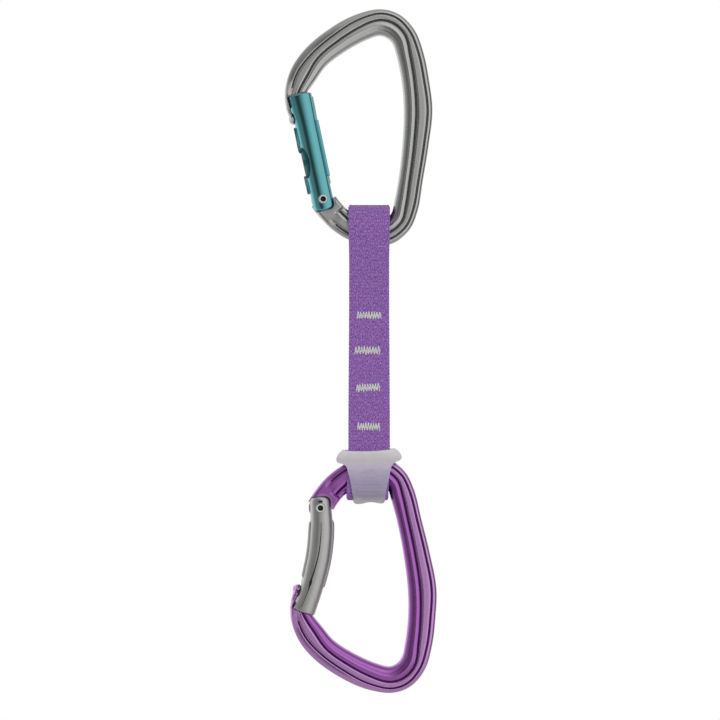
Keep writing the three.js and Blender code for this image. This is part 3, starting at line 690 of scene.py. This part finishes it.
class Gate:
    """A gate as stations along its centreline: x, z, reach to the outside, reach to the inside."""

    corner = 2.4  # radius of the end at the rivet
    down = 4.6  # how far that end reaches below the rivet

    def __init__(self, lean, stations, nose_slot, flat):
        self.flat = flat
        self.lean = lean
        self.stations = stations
        self.nose_slot = nose_slot

    def at(self, t):
        """Centre, sideways direction and the two reaches at t from 0 to 1."""
        s = t * (len(self.stations) - 1)
        p = spline([q[:2] for q in self.stations], [s])[0]
        e = 1e-3
        hi, lo = min(s + e, len(self.stations) - 1), max(s - e, 0)
        a, b = spline([q[:2] for q in self.stations], [lo, hi])
        along = (b - a) / np.linalg.norm(b - a)
        reach = spline([q[2:4] for q in self.stations], [s])[0]
        return p, along, np.array([along[1], -along[0]]), reach

    def outline(self, gap):
        """Seen from the front, grown by gap: rounded at the rivet, square at the nose."""
        p, along, side, reach = self.at(0)
        low = self.down + gap
        points = []
        for sign, out in ((-1, reach[0] + gap), (1, reach[1] + gap)):
            for k in range(7):
                a = math.pi / 2 * (k / 6)
                c, s = self.corner * (1 - math.cos(a)), self.corner * (1 - math.sin(a))
                x, z = (-out + c, -low + s) if sign < 0 else (out - s, -low + c)
                points.append(tuple(p + side * x + along * z))
        steps = np.linspace(0, 1, 25)
        right = [self.at(t) for t in steps]
        for q, _, sd, r in right:
            points.append(tuple(q + sd * (r[1] + gap)))
        q, al, sd, r = right[-1]
        points.append(tuple(q + sd * (r[1] + gap) + al * gap))
        points.append(tuple(q - sd * (r[0] + NOSE_GAP) + al * gap))
        for t, (q, _, sd, r) in reversed(list(zip(steps, right))):
            near = gap - (gap - NOSE_GAP) * float(smooth(t, 0.66, 0.72))
            points.append(tuple(q - sd * (r[0] + near)))
        return points

    def lug_trim(self):
        """What lies above the lug's flat inside the gate's slot."""
        left, top = -3.2, 9.5
        points = [(left, LUG_FLAT), (LUG_SIDE, LUG_FLAT), (LUG_RADIUS, LUG_FLAT)]
        return rotate(points + [(LUG_RADIUS, top), (left, top)], self.lean)

    def faceted(self, x, y, reach, thick):
        """x cut back to the flat that runs along the inner side of the bar, front and back."""
        a = 0.74
        b = (1 - a**2.5) ** 0.4
        slope = (1 - a) / (b - 0.18)
        return min(x, reach * (a + slope * (b - abs(y) / thick))) if x > 0 else x

    def bar(self, name):
        """The rounded bar itself, both ends eased."""
        rings = []
        sides = 72
        marks = [np.array(q[:2]) for q in self.stations]
        total = sum(np.linalg.norm(b - a) for a, b in zip(marks, marks[1:]))
        ease = 0.5
        foot = 0.9
        lows = self.corner * (1 - np.cos(np.linspace(0, math.pi / 2, 12)))
        body = np.linspace(0, 1 - ease / total, 96)
        tip = [1 - (ease - e) / total for e in ease * np.sin(np.linspace(0, math.pi / 2, 8)[1:])]
        p0, along0, side0, reach0 = self.at(0)

        def ring(p, side, left, right, thick):
            out = []
            for k in range(sides):
                a = 2 * math.pi * k / sides
                c, s = math.cos(a), math.sin(a)
                x = math.copysign(abs(c) ** 0.8, c) * (left if c < 0 else right)
                y = math.copysign(abs(s) ** 0.8, s) * thick
                x = self.faceted(x, y, right, thick) if self.flat else x
                q = p + side * x
                out.append((q[0], y, q[1]))
            return out

        for e in lows:
            cut = self.corner - math.sqrt(max(0.0, self.corner**2 - (self.corner - e) ** 2))
            thin = foot * (1 - math.sqrt(max(0.0, 1 - (1 - min(e, foot) / foot) ** 2)))
            p = p0 + along0 * (e - self.down)
            rings.append(ring(p, side0, reach0[0] - cut, reach0[1] - cut, GATE_HALF - thin))
        for t in body[1:]:
            p, _, sd, r = self.at(t)
            rings.append(ring(p, sd, r[0], r[1], GATE_HALF))
        for k, t in enumerate(tip):
            p, _, sd, r = self.at(min(t, 1.0))
            a = math.pi / 2 * ((k + 1) / 7)
            cut = ease * (1 - math.cos(a))
            rings.append(ring(p, sd, r[0] - cut, r[1] - cut, GATE_HALF - cut))
        return mesh_object(name, *loft(rings))


STRAIGHT_LEAN = math.radians(11.9)


def line_station(t, left, right):
    """A station of the straight gate, t along it."""
    return (-t * math.sin(STRAIGHT_LEAN), t * math.cos(STRAIGHT_LEAN), left, right)


STRAIGHT_REACH = [
    (0, 5.0, 4.55),
    (8, 5.05, 4.5),
    (16, 5.1, 4.5),
    (24, 5.15, 4.45),
    (32, 5.3, 4.45),
    (38, 5.95, 4.65),
    (44.1, 6.3, 4.65),
]
STRAIGHT = Gate(
    -STRAIGHT_LEAN,
    [line_station(*reach) for reach in STRAIGHT_REACH],
    [(-16, 46.5), (-16, 31.5), (-12.4, 29.2), (-8.0, 31.4), (-5.6, 38), (-3.2, 47)],
    True,
)
BENT = Gate(
    math.radians(-3.5),
    [
        (0, 0, 4.5, 4.6),
        (-0.2, 6.2, 4.7, 4.8),
        (-0.7, 11.2, 4.9, 4.9),
        (-1.5, 16.1, 4.9, 4.9),
        (-2.6, 21.0, 4.9, 4.9),
        (-4.0, 25.8, 4.9, 4.8),
        (-5.6, 30.6, 4.8, 4.7),
        (-7.4, 35.3, 4.8, 4.7),
        (-10.5, 42.0, 5.3, 4.9),
    ],
    [(-19, 44.5), (-17, 31.5), (-12.4, 28.8), (-8.2, 30.6), (-6.6, 36), (-5.9, 45)],
    False,
)


def gate_cuts(o, gate, bore_top):
    """The lug's slot, the spring's bore, the rivet's hole and the nose's slot."""
    lean = Matrix.Rotation(gate.lean, 4, "Y")
    slot = rounded_box("slot", (-12, -SLOT_HALF, -12), (12, SLOT_HALF, 6.0), 0.05, lean, 1)
    combine(o, slot, "DIFFERENCE")
    bore_x, bore_foot = 1.5, 5.0
    bore = [[(bore_x + x, y, z) for x, y in circle(0, 0, 2.3, 32)] for z in (bore_foot, bore_top)]
    combine(o, mesh_object("bore", *loft(bore), where=lean), "DIFFERENCE")
    combine(o, pin_hole(), "DIFFERENCE")
    combine(o, prism("nose", gate.nose_slot, -SLOT_HALF, SLOT_HALF), "DIFFERENCE")


def straight_gate():
    """The straight bar with two ridges outside, one inside, and the finger scoops."""
    o = STRAIGHT.bar("upper_gate_look")
    lean = Matrix.Rotation(STRAIGHT.lean, 4, "Y")
    half = 2.4
    for x0, x1, z0, z1 in (
        (-5.95, -2.5, 3.5, 11.0),
        (-6.0, -2.5, 20.5, 31.2),
        (2.5, 4.8, 9.0, 32.5),
    ):
        combine(o, rounded_box("ridge", (x0, -half, z0), (x1, half, z1), 0.4, lean, 4), "UNION")
    for sign in (-1, 1):
        combine(o, scoop(sign, lean), "DIFFERENCE")
    gate_cuts(o, STRAIGHT, 24)
    return o


SCOOP_RADIUS = 21.6
SCOOP_AT = (-22.1, 13.55, 16.0)
SCOOP_TURN = math.radians(31.5)


def scoop_axis(sign, lean):
    """Where the cylinder of one of the two scoops lies."""
    x, y, z = SCOOP_AT
    turn = Matrix.Rotation(sign * SCOOP_TURN, 4, "Z")
    return lean @ (Matrix.Translation((x, -sign * y, z)) @ turn)


def scoop(sign, lean):
    """The cutter for one of the two finger scoops."""
    turn = np.linspace(0, 2 * math.pi, 241)[:-1]
    arc = [(SCOOP_RADIUS * math.cos(a), SCOOP_RADIUS * math.sin(a)) for a in turn]
    rings = [[(x, y, z) for x, z in arc] for y in (-18, 18)]
    return mesh_object("scoop", *loft(rings), where=scoop_axis(sign, lean))


def shade_scoops(o):
    """The scoops' own faces take painted shade, a near-black teal."""
    o.data.materials.append(SCOOP_SHADE)
    lean = Matrix.Rotation(STRAIGHT.lean, 4, "Y")
    for sign in (-1, 1):
        axis = scoop_axis(sign, lean)
        to_axis = axis.inverted() @ Matrix.Scale(1 / MM, 4)
        for f in o.data.polygons:
            c = to_axis @ f.center
            facing = axis.inverted().to_3x3() @ f.normal
            inward = -(facing.x * c.x + facing.z * c.z) / SCOOP_RADIUS
            if abs(math.hypot(c.x, c.z) - SCOOP_RADIUS) < 0.06 and inward > 0.985:
                f.material_index = 1
    return o


# The small window beside the rivet: half width, foot and top. The crease: place along the gate,
# shift to the side and half width. Both have floors, at these depths from the middle plane.
EYE = (0.85, -3.1, -2.2)
EYE_FLOOR = 4.0
CREASE = [
    (0.12, 0.0, 0.10),
    (0.40, -0.1, 0.2),
    (0.60, -0.6, 0.26),
    (0.70, -0.95, 0.34),
    (0.745, -1.0, 0.62),
    (0.79, -1.0, 0.34),
    (0.84, -1.05, 0.14),
    (0.97, -1.35, 0.10),
]
CREASE_FLOOR = 4.55


def crease_path():
    """The crease down the middle of the bent gate: points, side directions and half widths."""
    at = np.linspace(CREASE[0][0], CREASE[-1][0], 60)
    t, shift, wide = zip(*CREASE)
    for a in at:
        p, _, side, _ = BENT.at(a)
        yield p + side * np.interp(a, t, shift), side, np.interp(a, t, wide)


def bent_rib(sign, start, end):
    """A low rib along one side of the bent gate."""
    rings = []
    for t in np.linspace(start, end, 44):
        p, _, side, reach = BENT.at(t)
        rise = 0.5 * min(1.0, (t - start) / 0.02, (end - t) / 0.02)
        out = (reach[0] if sign < 0 else reach[1]) + rise
        half, crest, deep, ease = 2.5, 2.1, out - 2.5, out - 0.35
        corners = [(deep, half), (ease, half), (out, crest)]
        corners += [(x, -y) for x, y in reversed(corners)]
        rings.append([((p + side * sign * x)[0], y, (p + side * sign * x)[1]) for x, y in corners])
    return mesh_object("rib", *loft(rings))


def bent_gate():
    """The bent bar with a rib on each side, the crease and the small window."""
    o = BENT.bar("lower_gate_look")
    combine(o, bent_rib(-1, 0.11, 0.72), "UNION")
    combine(o, bent_rib(1, 0.11, 0.77), "UNION")
    path = list(crease_path())
    outline = [p - side * w for p, side, w in path] + [p + side * w for p, side, w in reversed(path)]
    lean = Matrix.Rotation(BENT.lean, 4, "Y")
    x, z0, z1 = EYE
    for y0, y1 in ((-THROUGH, -CREASE_FLOOR), (CREASE_FLOOR, THROUGH)):
        combine(o, prism("crease", [tuple(q) for q in outline], y0, y1), "DIFFERENCE")
    for y0, y1 in ((-THROUGH, -EYE_FLOOR), (EYE_FLOOR, THROUGH)):
        combine(o, rounded_box("eye", (-x, y0, z0), (x, y1, z1), 0.2, lean, 3), "DIFFERENCE")
    gate_cuts(o, BENT, 17)
    return o


def shade_crease(o):
    """The crease and the little window of the bent gate get painted shade inside."""
    o.data.materials.append(HOLLOW_SHADE)
    back = Matrix.Rotation(-BENT.lean, 4, "Y") @ Matrix.Scale(1 / MM, 4)
    path = np.array([p for p, _, _ in crease_path()])
    x, z0, z1 = EYE
    for f in o.data.polygons:
        c = f.center / MM
        if not 3.9 < abs(c.y) < 4.8:
            continue
        e = back @ f.center
        window = abs(e.x) < x + 0.05 and z0 - 0.05 < e.z < z1 + 0.05
        near = np.min(np.hypot(path[:, 0] - c.x, path[:, 1] - c.z)) < 0.75 and abs(c.y) > 4.5
        inside = abs(abs(c.y) - CREASE_FLOOR) < 0.03 or abs(f.normal.y) < 0.6
        f.material_index = int(window or (near and inside))
    return o


def rivet_look(name, where):
    """A solid rivet with dished heads; the hollow in each head is painted shade."""
    head = [(0.0, 3.9), (0.45, 3.92), (0.72, 4.02), (0.86, 4.5), (1.0, 5.0), (1.1, 5.3)]
    head += [(1.24, 5.43), (1.45, 5.45), (1.68, 5.38), (1.82, 5.2), (1.85, 5.0), (1.5, 4.96)]
    back = [(r, -y) for r, y in head][::-1]
    hollow = 0.95
    o = turned(name, head + back, 56, where)
    finish_mesh(o, RIVET, 50)
    o.data.materials.append(HOLLOW_SHADE)
    inverse = (Matrix.Scale(MM, 4) @ where @ Matrix.Scale(1 / MM, 4)).inverted()
    for f in o.data.polygons:
        c = inverse @ f.center
        f.material_index = int(math.hypot(c.x, c.z) < hollow * MM)
    return o


# --- Sling ---

TOP_AXIS, TOP_IN, NECK = -79.25, 8.3, -111.0
GAP, THICK = 0.15, 1.5
LOW_AXIS, LOW_IN, LOW_CORNER = -186.0, 5.2, 3.4
FLEX = -165.6
JOIN = -129.2


def centre_line_top():
    """Half of the top loop's centreline in (y, z), from the join up to the fold's crown."""
    mid = THICK / 2
    lean = math.asin((TOP_IN - GAP) / (TOP_AXIS - NECK))
    r = TOP_IN + mid
    line = [(GAP + mid, JOIN), (GAP + mid, NECK - 6), (GAP + mid + 0.12, NECK - 1.5)]
    foot = (r * math.cos(lean), TOP_AXIS - r * math.sin(lean))
    start = (GAP + mid + 0.9, NECK + 5)
    for k in range(1, 6):
        w = k / 6
        line.append((start[0] + (foot[0] - start[0]) * w, start[1] + (foot[1] - start[1]) * w))
    for a in np.linspace(-lean, math.pi / 2, 16):
        line.append((r * math.cos(a), TOP_AXIS + r * math.sin(a)))
    return line


def centre_line_low():
    """Half of the bottom loop's centreline, from the join down to the middle of the fold."""
    mid = THICK / 2
    r = LOW_CORNER + mid
    c = LOW_IN - LOW_CORNER
    line = [(GAP + mid, JOIN), (GAP + mid, FLEX + 5), (GAP + mid + 0.05, FLEX + 2)]
    line += [(GAP + mid + 0.7, -167.6), (3.1, -170.6), (4.5 + mid - 0.25, -173.9)]
    line += [(5.05 + mid, -177.5), (LOW_IN + mid, -181.5)]
    for a in np.linspace(0, -math.pi / 2, 10):
        line.append((c + r * math.cos(a), LOW_AXIS + r * math.sin(a)))
    line.append((0, LOW_AXIS - r))
    return line


def resample(points, step):
    """Points about a step apart along a curve, and their distances along it."""
    p = np.array(points, float)
    fine = spline(p, np.linspace(0, len(p) - 1, 60 * len(p)))
    run = np.concatenate([[0], np.cumsum(np.linalg.norm(np.diff(fine, axis=0), axis=1))])
    n = max(2, int(round(run[-1] / step)))
    at = np.linspace(0, run[-1], n + 1)
    return np.stack([np.interp(at, run, fine[:, k]) for k in (0, 1)], axis=1), at


def tape_half(z):
    """Half width of the tape at a height: drawn in at both folds, with a fine ripple."""
    heights = [-191, -176, -160, -110, -92, -72, -69]
    half = np.interp(z, heights, [8.45, 8.5, 8.55, 8.25, 8.2, 8.5, 8.5])
    top = 1.3 * (1 - math.sqrt(max(0.0, 1 - min(1.0, max(0.0, (z + 71.2) / 1.7)) ** 2)))
    foot = 1.0 * (1 - math.sqrt(max(0.0, 1 - min(1.0, max(0.0, (-188.9 - z) / 1.9)) ** 2)))
    return float(half - top - foot + 0.07 * math.sin(2 * math.pi * z / 1.3))


def draw_map(o, uvs):
    """Gives each vertex its place on the map."""
    layer = o.data.uv_layers.new(name="map")
    for loop in o.data.loops:
        layer.data[loop.index].uv = uvs[loop.vertex_index]


def tape(name, half_line):
    """A band of webbing with rounded selvages along a centreline and its mirror image."""
    line, run = resample(half_line, 0.4)
    full = np.vstack([np.stack([-line[:, 0], line[:, 1]], 1), line[::-1][1:]])
    length = np.concatenate([run, run[-1] + (run[-1] - run[::-1][1:])])
    bend = np.linspace(0, math.pi / 2, 5)
    left, right = -1 + 0.045 * (1 - np.cos(bend)), 1 - 0.045 * (1 - np.sin(bend))
    across = np.concatenate([left, np.linspace(-0.93, 0.93, 25), right])
    across = np.unique(np.round(across, 5))
    rings, uvs = [], []
    for k, (y, z) in enumerate(full):
        a, b = full[max(0, k - 1)], full[min(len(full) - 1, k + 1)]
        d = (b - a) / np.linalg.norm(b - a)
        nrm = np.array([-d[1], d[0]])
        half = tape_half(z)
        low = max(0.0, min(1.0, (-176 - z) / 12))
        low = low * low * (3 - 2 * low)
        top, bottom = [], []
        for u in across:
            x = WEB_X + u * half - low * (0.85 if u < 0 else 0.55) * abs(u)
            puff = 1 - max(0.0, (abs(u) - 0.955) / 0.045) ** 2
            t = THICK / 2 * (0.30 + 0.70 * math.sqrt(max(0.0, puff)))
            edge = 0.06 * math.exp(-(((abs(u) - 0.93) / 0.03) ** 2))
            top.append((x, y + nrm[0] * (t + edge), z + nrm[1] * (t + edge)))
            bottom.append((x, y - nrm[0] * (t - 0.02), z - nrm[1] * (t - 0.02)))
        rings.append(top + bottom[::-1])
        uvs += [(u * half, length[k]) for u in across]
        uvs += [(u * half + 31.0, length[k]) for u in across[::-1]]
    o = mesh_object(name, *loft(rings))
    draw_map(o, uvs)
    return finish_mesh(o, WEB, 60)


def thread_tube(name, path, radius):
    """A thread laid along a path of (x, y, z) points, slightly flattened against the tape."""
    p = np.array(path, float)
    at = np.linspace(0, len(p) - 1, 8 * (len(p) - 1) + 1)
    p = np.stack([spline(p[:, k : k + 1], at)[:, 0] for k in range(3)], 1)
    rings, uvs, run = [], [], 0.0
    sides = 8
    flat = 0.75
    for k in range(len(p)):
        a, b = p[max(0, k - 1)], p[min(len(p) - 1, k + 1)]
        d = (b - a) / np.linalg.norm(b - a)
        side = np.cross(d, (0, 1, 0))
        side = side / np.linalg.norm(side)
        up = np.cross(side, d)
        if k:
            run += np.linalg.norm(p[k] - p[k - 1])
        rings.append(
            [
                tuple(p[k] + radius * (math.cos(q) * side + flat * math.sin(q) * up))
                for q in np.linspace(0, 2 * math.pi, sides + 1)[:-1]
            ]
        )
        uvs += [(j / sides * 1.6, run) for j in range(sides)]
    o = mesh_object(name, *loft(rings))
    draw_map(o, uvs)
    return o


# Each tack: middle x, height, half width, and which end has the tall stitch.
BARTACKS = [
    (-4.5, -114.8, 5.0, -1),
    (-5.2, -129.3, 5.15, 1),
    (-5.0, -144.5, 4.85, 1),
    (-4.7, -160.6, 4.65, 1),
]


def bartack_look(number, sign):
    """A zigzag tack of about nine uneven teeth, with a low pass through its middle."""
    middle, z, half, tall = BARTACKS[number - 1]
    rng = random.Random(40 + number * 2 + (sign > 0))
    face = GAP + THICK
    teeth = 9
    passes = []
    for turn, reach, radius in ((0, 1.5, 0.205), (1, 0.5, 0.17)):
        path = []
        for k in range(2 * teeth + 1):
            along = k / teeth - 1
            x = middle + half * along + rng.uniform(-0.1, 0.1) + 0.2 * turn
            up = 1 if (k + turn) % 2 else -1
            far = reach + rng.uniform(-0.3, 0.22) + (0.45 if along * tall > 0.93 and not turn else 0)
            shift = 0.25 * along if number == 3 else 0.0
            path.append((x, sign * (face - 0.12), z + shift + up * far - 0.25 * turn))
            if k < 2 * teeth:
                high = face + 0.20 + 0.12 * turn
                between = z + shift + rng.uniform(-0.1, 0.1) - 0.25 * turn
                path.append((x + half / (2 * teeth), sign * high, between))
        passes.append((path, radius))
    side = "front" if sign < 0 else "back"
    main = thread_tube(f"bartack_{number}_{side}_look", *passes[0])
    join(main, thread_tube("extra", *passes[1]))
    finish_mesh(main, THREAD, 60)
    return main


def join(o, other):
    """o with other's mesh added; other goes."""
    bm = bmesh.new()
    bm.from_mesh(o.data)
    bm.from_mesh(other.data)
    bm.to_mesh(o.data)
    bm.free()
    bpy.data.objects.remove(other)


# --- Keeper ---


def curve_points(start, *parts, n=10):
    """An outline from a start point and (control, end) quadratic pieces; control None is a line."""
    out = [start]
    for control, end in parts:
        a = out[-1]
        if control is None:
            out.append(end)
            continue
        for k in range(1, n + 1):
            t = k / n
            k0, k1, k2 = (1 - t) ** 2, 2 * t * (1 - t), t * t
            out.append(tuple(k0 * p + k1 * q + k2 * r for p, q, r in zip(a, control, end)))
    return out


KEEPER = curve_points(
    (-15.4, -170.3),
    ((-17.2, -171.4), (-18.0, -173.9)),
    ((-17.8, -175.4), (-16.6, -175.5)),
    ((-14.4, -175.9), (-13.7, -177.0)),
    ((-12.0, -183.0), (-11.3, -188.0)),
    (None, (-10.9, -191.4)),
    ((-10.4, -192.4), (-9.4, -192.4)),
    ((-7.6, -192.4), (-6.2, -191.9)),
    ((-4.2, -191.2), (-2.0, -191.7)),
    (None, (0.0, -192.1)),
    ((1.8, -192.3), (2.0, -190.8)),
    ((2.7, -185.0), (4.6, -177.0)),
    ((5.4, -175.3), (7.2, -174.6)),
    ((8.9, -174.2), (8.9, -172.8)),
    ((8.4, -171.0), (6.0, -169.6)),
    ((-4.0, -171.2), (-15.4, -170.3)),
)[:-1]


def keeper_side(wall, x0, x1, top=-168.5):
    """The keeper's side view, wall thick over the bottom loop's inner face, as a solid."""
    c, r = LOW_IN - LOW_CORNER, LOW_CORNER + wall
    pts = [(1.3 + wall, top), (4.5 + wall, -173.7), (LOW_IN + wall, -180)]
    pts += [(c + r * math.cos(a), LOW_AXIS + r * math.sin(a)) for a in np.linspace(0, -math.pi / 2, 14)]
    pts = pts + [(-y, z) for y, z in reversed(pts)]
    rings = [[(x, y, z) for y, z in pts] for x in (x0, x1)]
    return mesh_object("side", *loft(rings))


KEEPER_WALL = 1.35
WEB_HALF_LOW = 8.4
BAR_HALF = 5.05  # of the window for the carabiner's bar
# The raised bars on the keeper's face: height, left and right ends.
KEEPER_RIBS = [(-179.0, -8.0, -2.0), (-181.0, -7.6, -1.6), (-183.7, -9.6, 0.5), (-186.6, -9.5, 0.4)]


def keeper_look():
    """The moulded keeper: an outline cut to its side view, hollowed for the tape and the bar."""
    o = prism("rubber_keeper_look", KEEPER, -12, 12)
    combine(o, keeper_side(THICK + 0.3 + KEEPER_WALL, -19, 10), "INTERSECT")
    left, right = WEB_X - WEB_HALF_LOW - KEEPER_WALL, WEB_X + WEB_HALF_LOW + 0.35
    combine(o, keeper_side(THICK + 0.32, left, right, -166), "DIFFERENCE")
    lo, hi = (-30, -BAR_HALF, LOW_AXIS - 2), (20, BAR_HALF, -173.7)
    combine(o, rounded_box("bar", lo, hi, 0.4, None, 3), "DIFFERENCE")
    face, deep, half = 8.7, 1.0, 0.34
    for z, x0, x1 in KEEPER_RIBS:
        for y0, y1 in ((-face, -face + deep), (face - deep, face)):
            lo, hi = (x0, y0, z - half), (x1, y1, z + half)
            combine(o, rounded_box("rib", lo, hi, 0.2, None, 2), "UNION")
    mod = o.modifiers.new("even", "REMESH")
    mod.mode = "VOXEL"
    mod.voxel_size = 0.22 * MM
    soften = o.modifiers.new("soft", "SMOOTH")
    soften.factor = 0.5
    soften.iterations = 3
    bpy.context.view_layer.update()
    o.data = evaluated(o)
    o.modifiers.clear()
    return finish_mesh(o, RUBBER, 80)


# --- Build ---


upper_frame = forging_mesh("upper_frame_look", UPPER, STRAIGHT)
finish_mesh(upper_frame, GREY, 50, (GREY_GROOVE_SHADE, GREY))
place(upper_frame, "upper_carabiner", "grey_frame", "upper_frame")
lower_frame = forging_mesh("lower_frame_look", LOWER, BENT)
finish_mesh(lower_frame, VIOLET, 50, (VIOLET_GROOVE_SHADE, VIOLET_RIM_SHADE))
place(lower_frame, "lower_carabiner", "violet_frame", "lower_frame")
upper_gate = shade_scoops(finish_mesh(straight_gate(), TEAL, 45))
place(moved(upper_gate, UPPER), "upper_gate", "teal_gate", "upper_gate")
lower_gate = shade_crease(finish_mesh(bent_gate(), SATIN, 45))
place(moved(lower_gate, LOWER), "lower_gate", "grey_gate", "lower_gate")
place(rivet_look("upper_rivet_look", UPPER), "upper_gate", "pin_steel", "upper_gate_rivet")
place(rivet_look("lower_rivet_look", LOWER), "lower_gate", "pin_steel", "lower_gate_rivet")
for side in ("upper", "lower"):
    for part in ("spring", "pusher"):
        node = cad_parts[f"{side}_gate_{part}"]
        node.data.materials.clear()
        node.data.materials.append(WIRE)

top_tape = tape("webbing_top_look", centre_line_top())
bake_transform(top_tape)
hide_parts("webbing_top_loop", "webbing_front_ply", "webbing_back_ply")
low_tape = tape("webbing_low_look", centre_line_low())
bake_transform(low_tape)
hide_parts("webbing_bottom_loop")
for number in range(1, 5):
    for sign, side in ((-1, "front"), (1, "back")):
        place(bartack_look(number, sign), "sling_strap", "thread", f"bartack_{number}_{side}_thread")
place(keeper_look(), "sling_foot", "keeper_rubber", "rubber_keeper")


# --- Studio ---


def studio_floor():
    """A pale round floor below the hanging object."""
    sides, height = 96, -450
    turns = np.linspace(0, 2 * math.pi, sides + 1)[:-1]
    rings = []
    for r in np.linspace(60, 560, 6):
        rings.append([(r * math.cos(a), r * math.sin(a), height) for a in turns])
    verts, faces = loft(rings, caps=False)
    faces.append(tuple(range(sides)))
    o = mesh_object("floor", verts, faces)
    n = Surface("floor_paint")
    tone = n.noise(n.coords(), 30.0, 2.0, 0.5)
    paint = n.ramp(tone, (0.3, (0.80, 0.80, 0.80)), (0.7, (0.84, 0.84, 0.84)))
    n.feed(Base_Color=paint)
    n.set(Roughness=0.9)
    o.data.materials.append(n.material)


def studio_world():
    """White to the camera; to the surfaces, a soft studio: lit sides, a darker gap in the middle."""
    world = bpy.data.worlds.new("studio")
    bpy.context.scene.world = world
    n = Nodes(world)
    x, y, z = n.split(n.coords("Generated"))
    turn = n.math("ARCTAN2", x, n.math("MULTIPLY", y, -1))
    share = n.value(turn, 0.0, 1.0, -math.pi, math.pi)
    # Brightness round the studio, by degrees from the camera's side.
    stops = [(-180, 0.95), (-150, 1.15), (-105, 1.30), (-88, 0.88), (-66, 0.42), (-36, 0.37)]
    stops += [(-22, 0.10), (-9, 0.09), (3, 0.86), (20, 1.08), (66, 1.02)]
    stops += [(82, 0.18), (112, 0.15), (146, 0.85), (180, 0.95)]
    bands = n.ramp(share, *[((deg + 180) / 360, (v, v, v)) for deg, v in stops])
    # Above and below, the bands give way to an even ceiling and floor.
    poles = n.value(n.math("ABSOLUTE", z), 0.0, 1.0, 0.35, 0.95, "SMOOTHSTEP")
    lit = n.add("ShaderNodeBackground", Strength=1.0)
    n.link(n.mix(poles, bands, (0.62, 0.62, 0.62)), lit.inputs["Color"])
    white = n.add("ShaderNodeBackground", Color=(1, 1, 1, 1), Strength=1.0)
    both = n.add("ShaderNodeMixShader")
    n.link(n.add("ShaderNodeLightPath").outputs["Is Camera Ray"], both.inputs[0])
    n.link(lit.outputs[0], both.inputs[1])
    n.link(white.outputs[0], both.inputs[2])
    n.link(both.outputs[0], n.add("ShaderNodeOutputWorld").inputs["Surface"])


def softbox(name, at, aim, size, power):
    """A rectangular area light at a point, turned to another."""
    data = bpy.data.lights.new(name, "AREA")
    data.shape = "RECTANGLE"
    data.size, data.size_y = size
    data.energy = power
    o = bpy.data.objects.new(name, data)
    o.location = at
    o.rotation_mode = "QUATERNION"
    o.rotation_quaternion = (Vector(aim) - Vector(at)).to_track_quat("-Z", "Y")
    bpy.context.scene.collection.objects.link(o)


studio_floor()
studio_world()
softbox("top", (0.0, -1.7, 1.4), (-0.01, 0, -0.13), (1.8, 1.8), 4)

camera = bpy.data.cameras.new("camera")
camera.lens = 135
camera.sensor_width = 36
view_width = 0.2952  # metres across the picture, in the object's middle plane
seen = bpy.data.objects.new("camera", camera)
bpy.context.scene.collection.objects.link(seen)
away = view_width / camera.sensor_width * camera.lens
seen.location = (-0.0082, -away - 0.004, -0.13325)
seen.rotation_mode = "QUATERNION"
seen.rotation_quaternion = Vector((0, 1, 0)).to_track_quat("-Z", "Y")
bpy.context.scene.camera = seen
bpy.context.scene.view_settings.view_transform = "Standard"
bpy.context.scene.view_settings.look = "None"
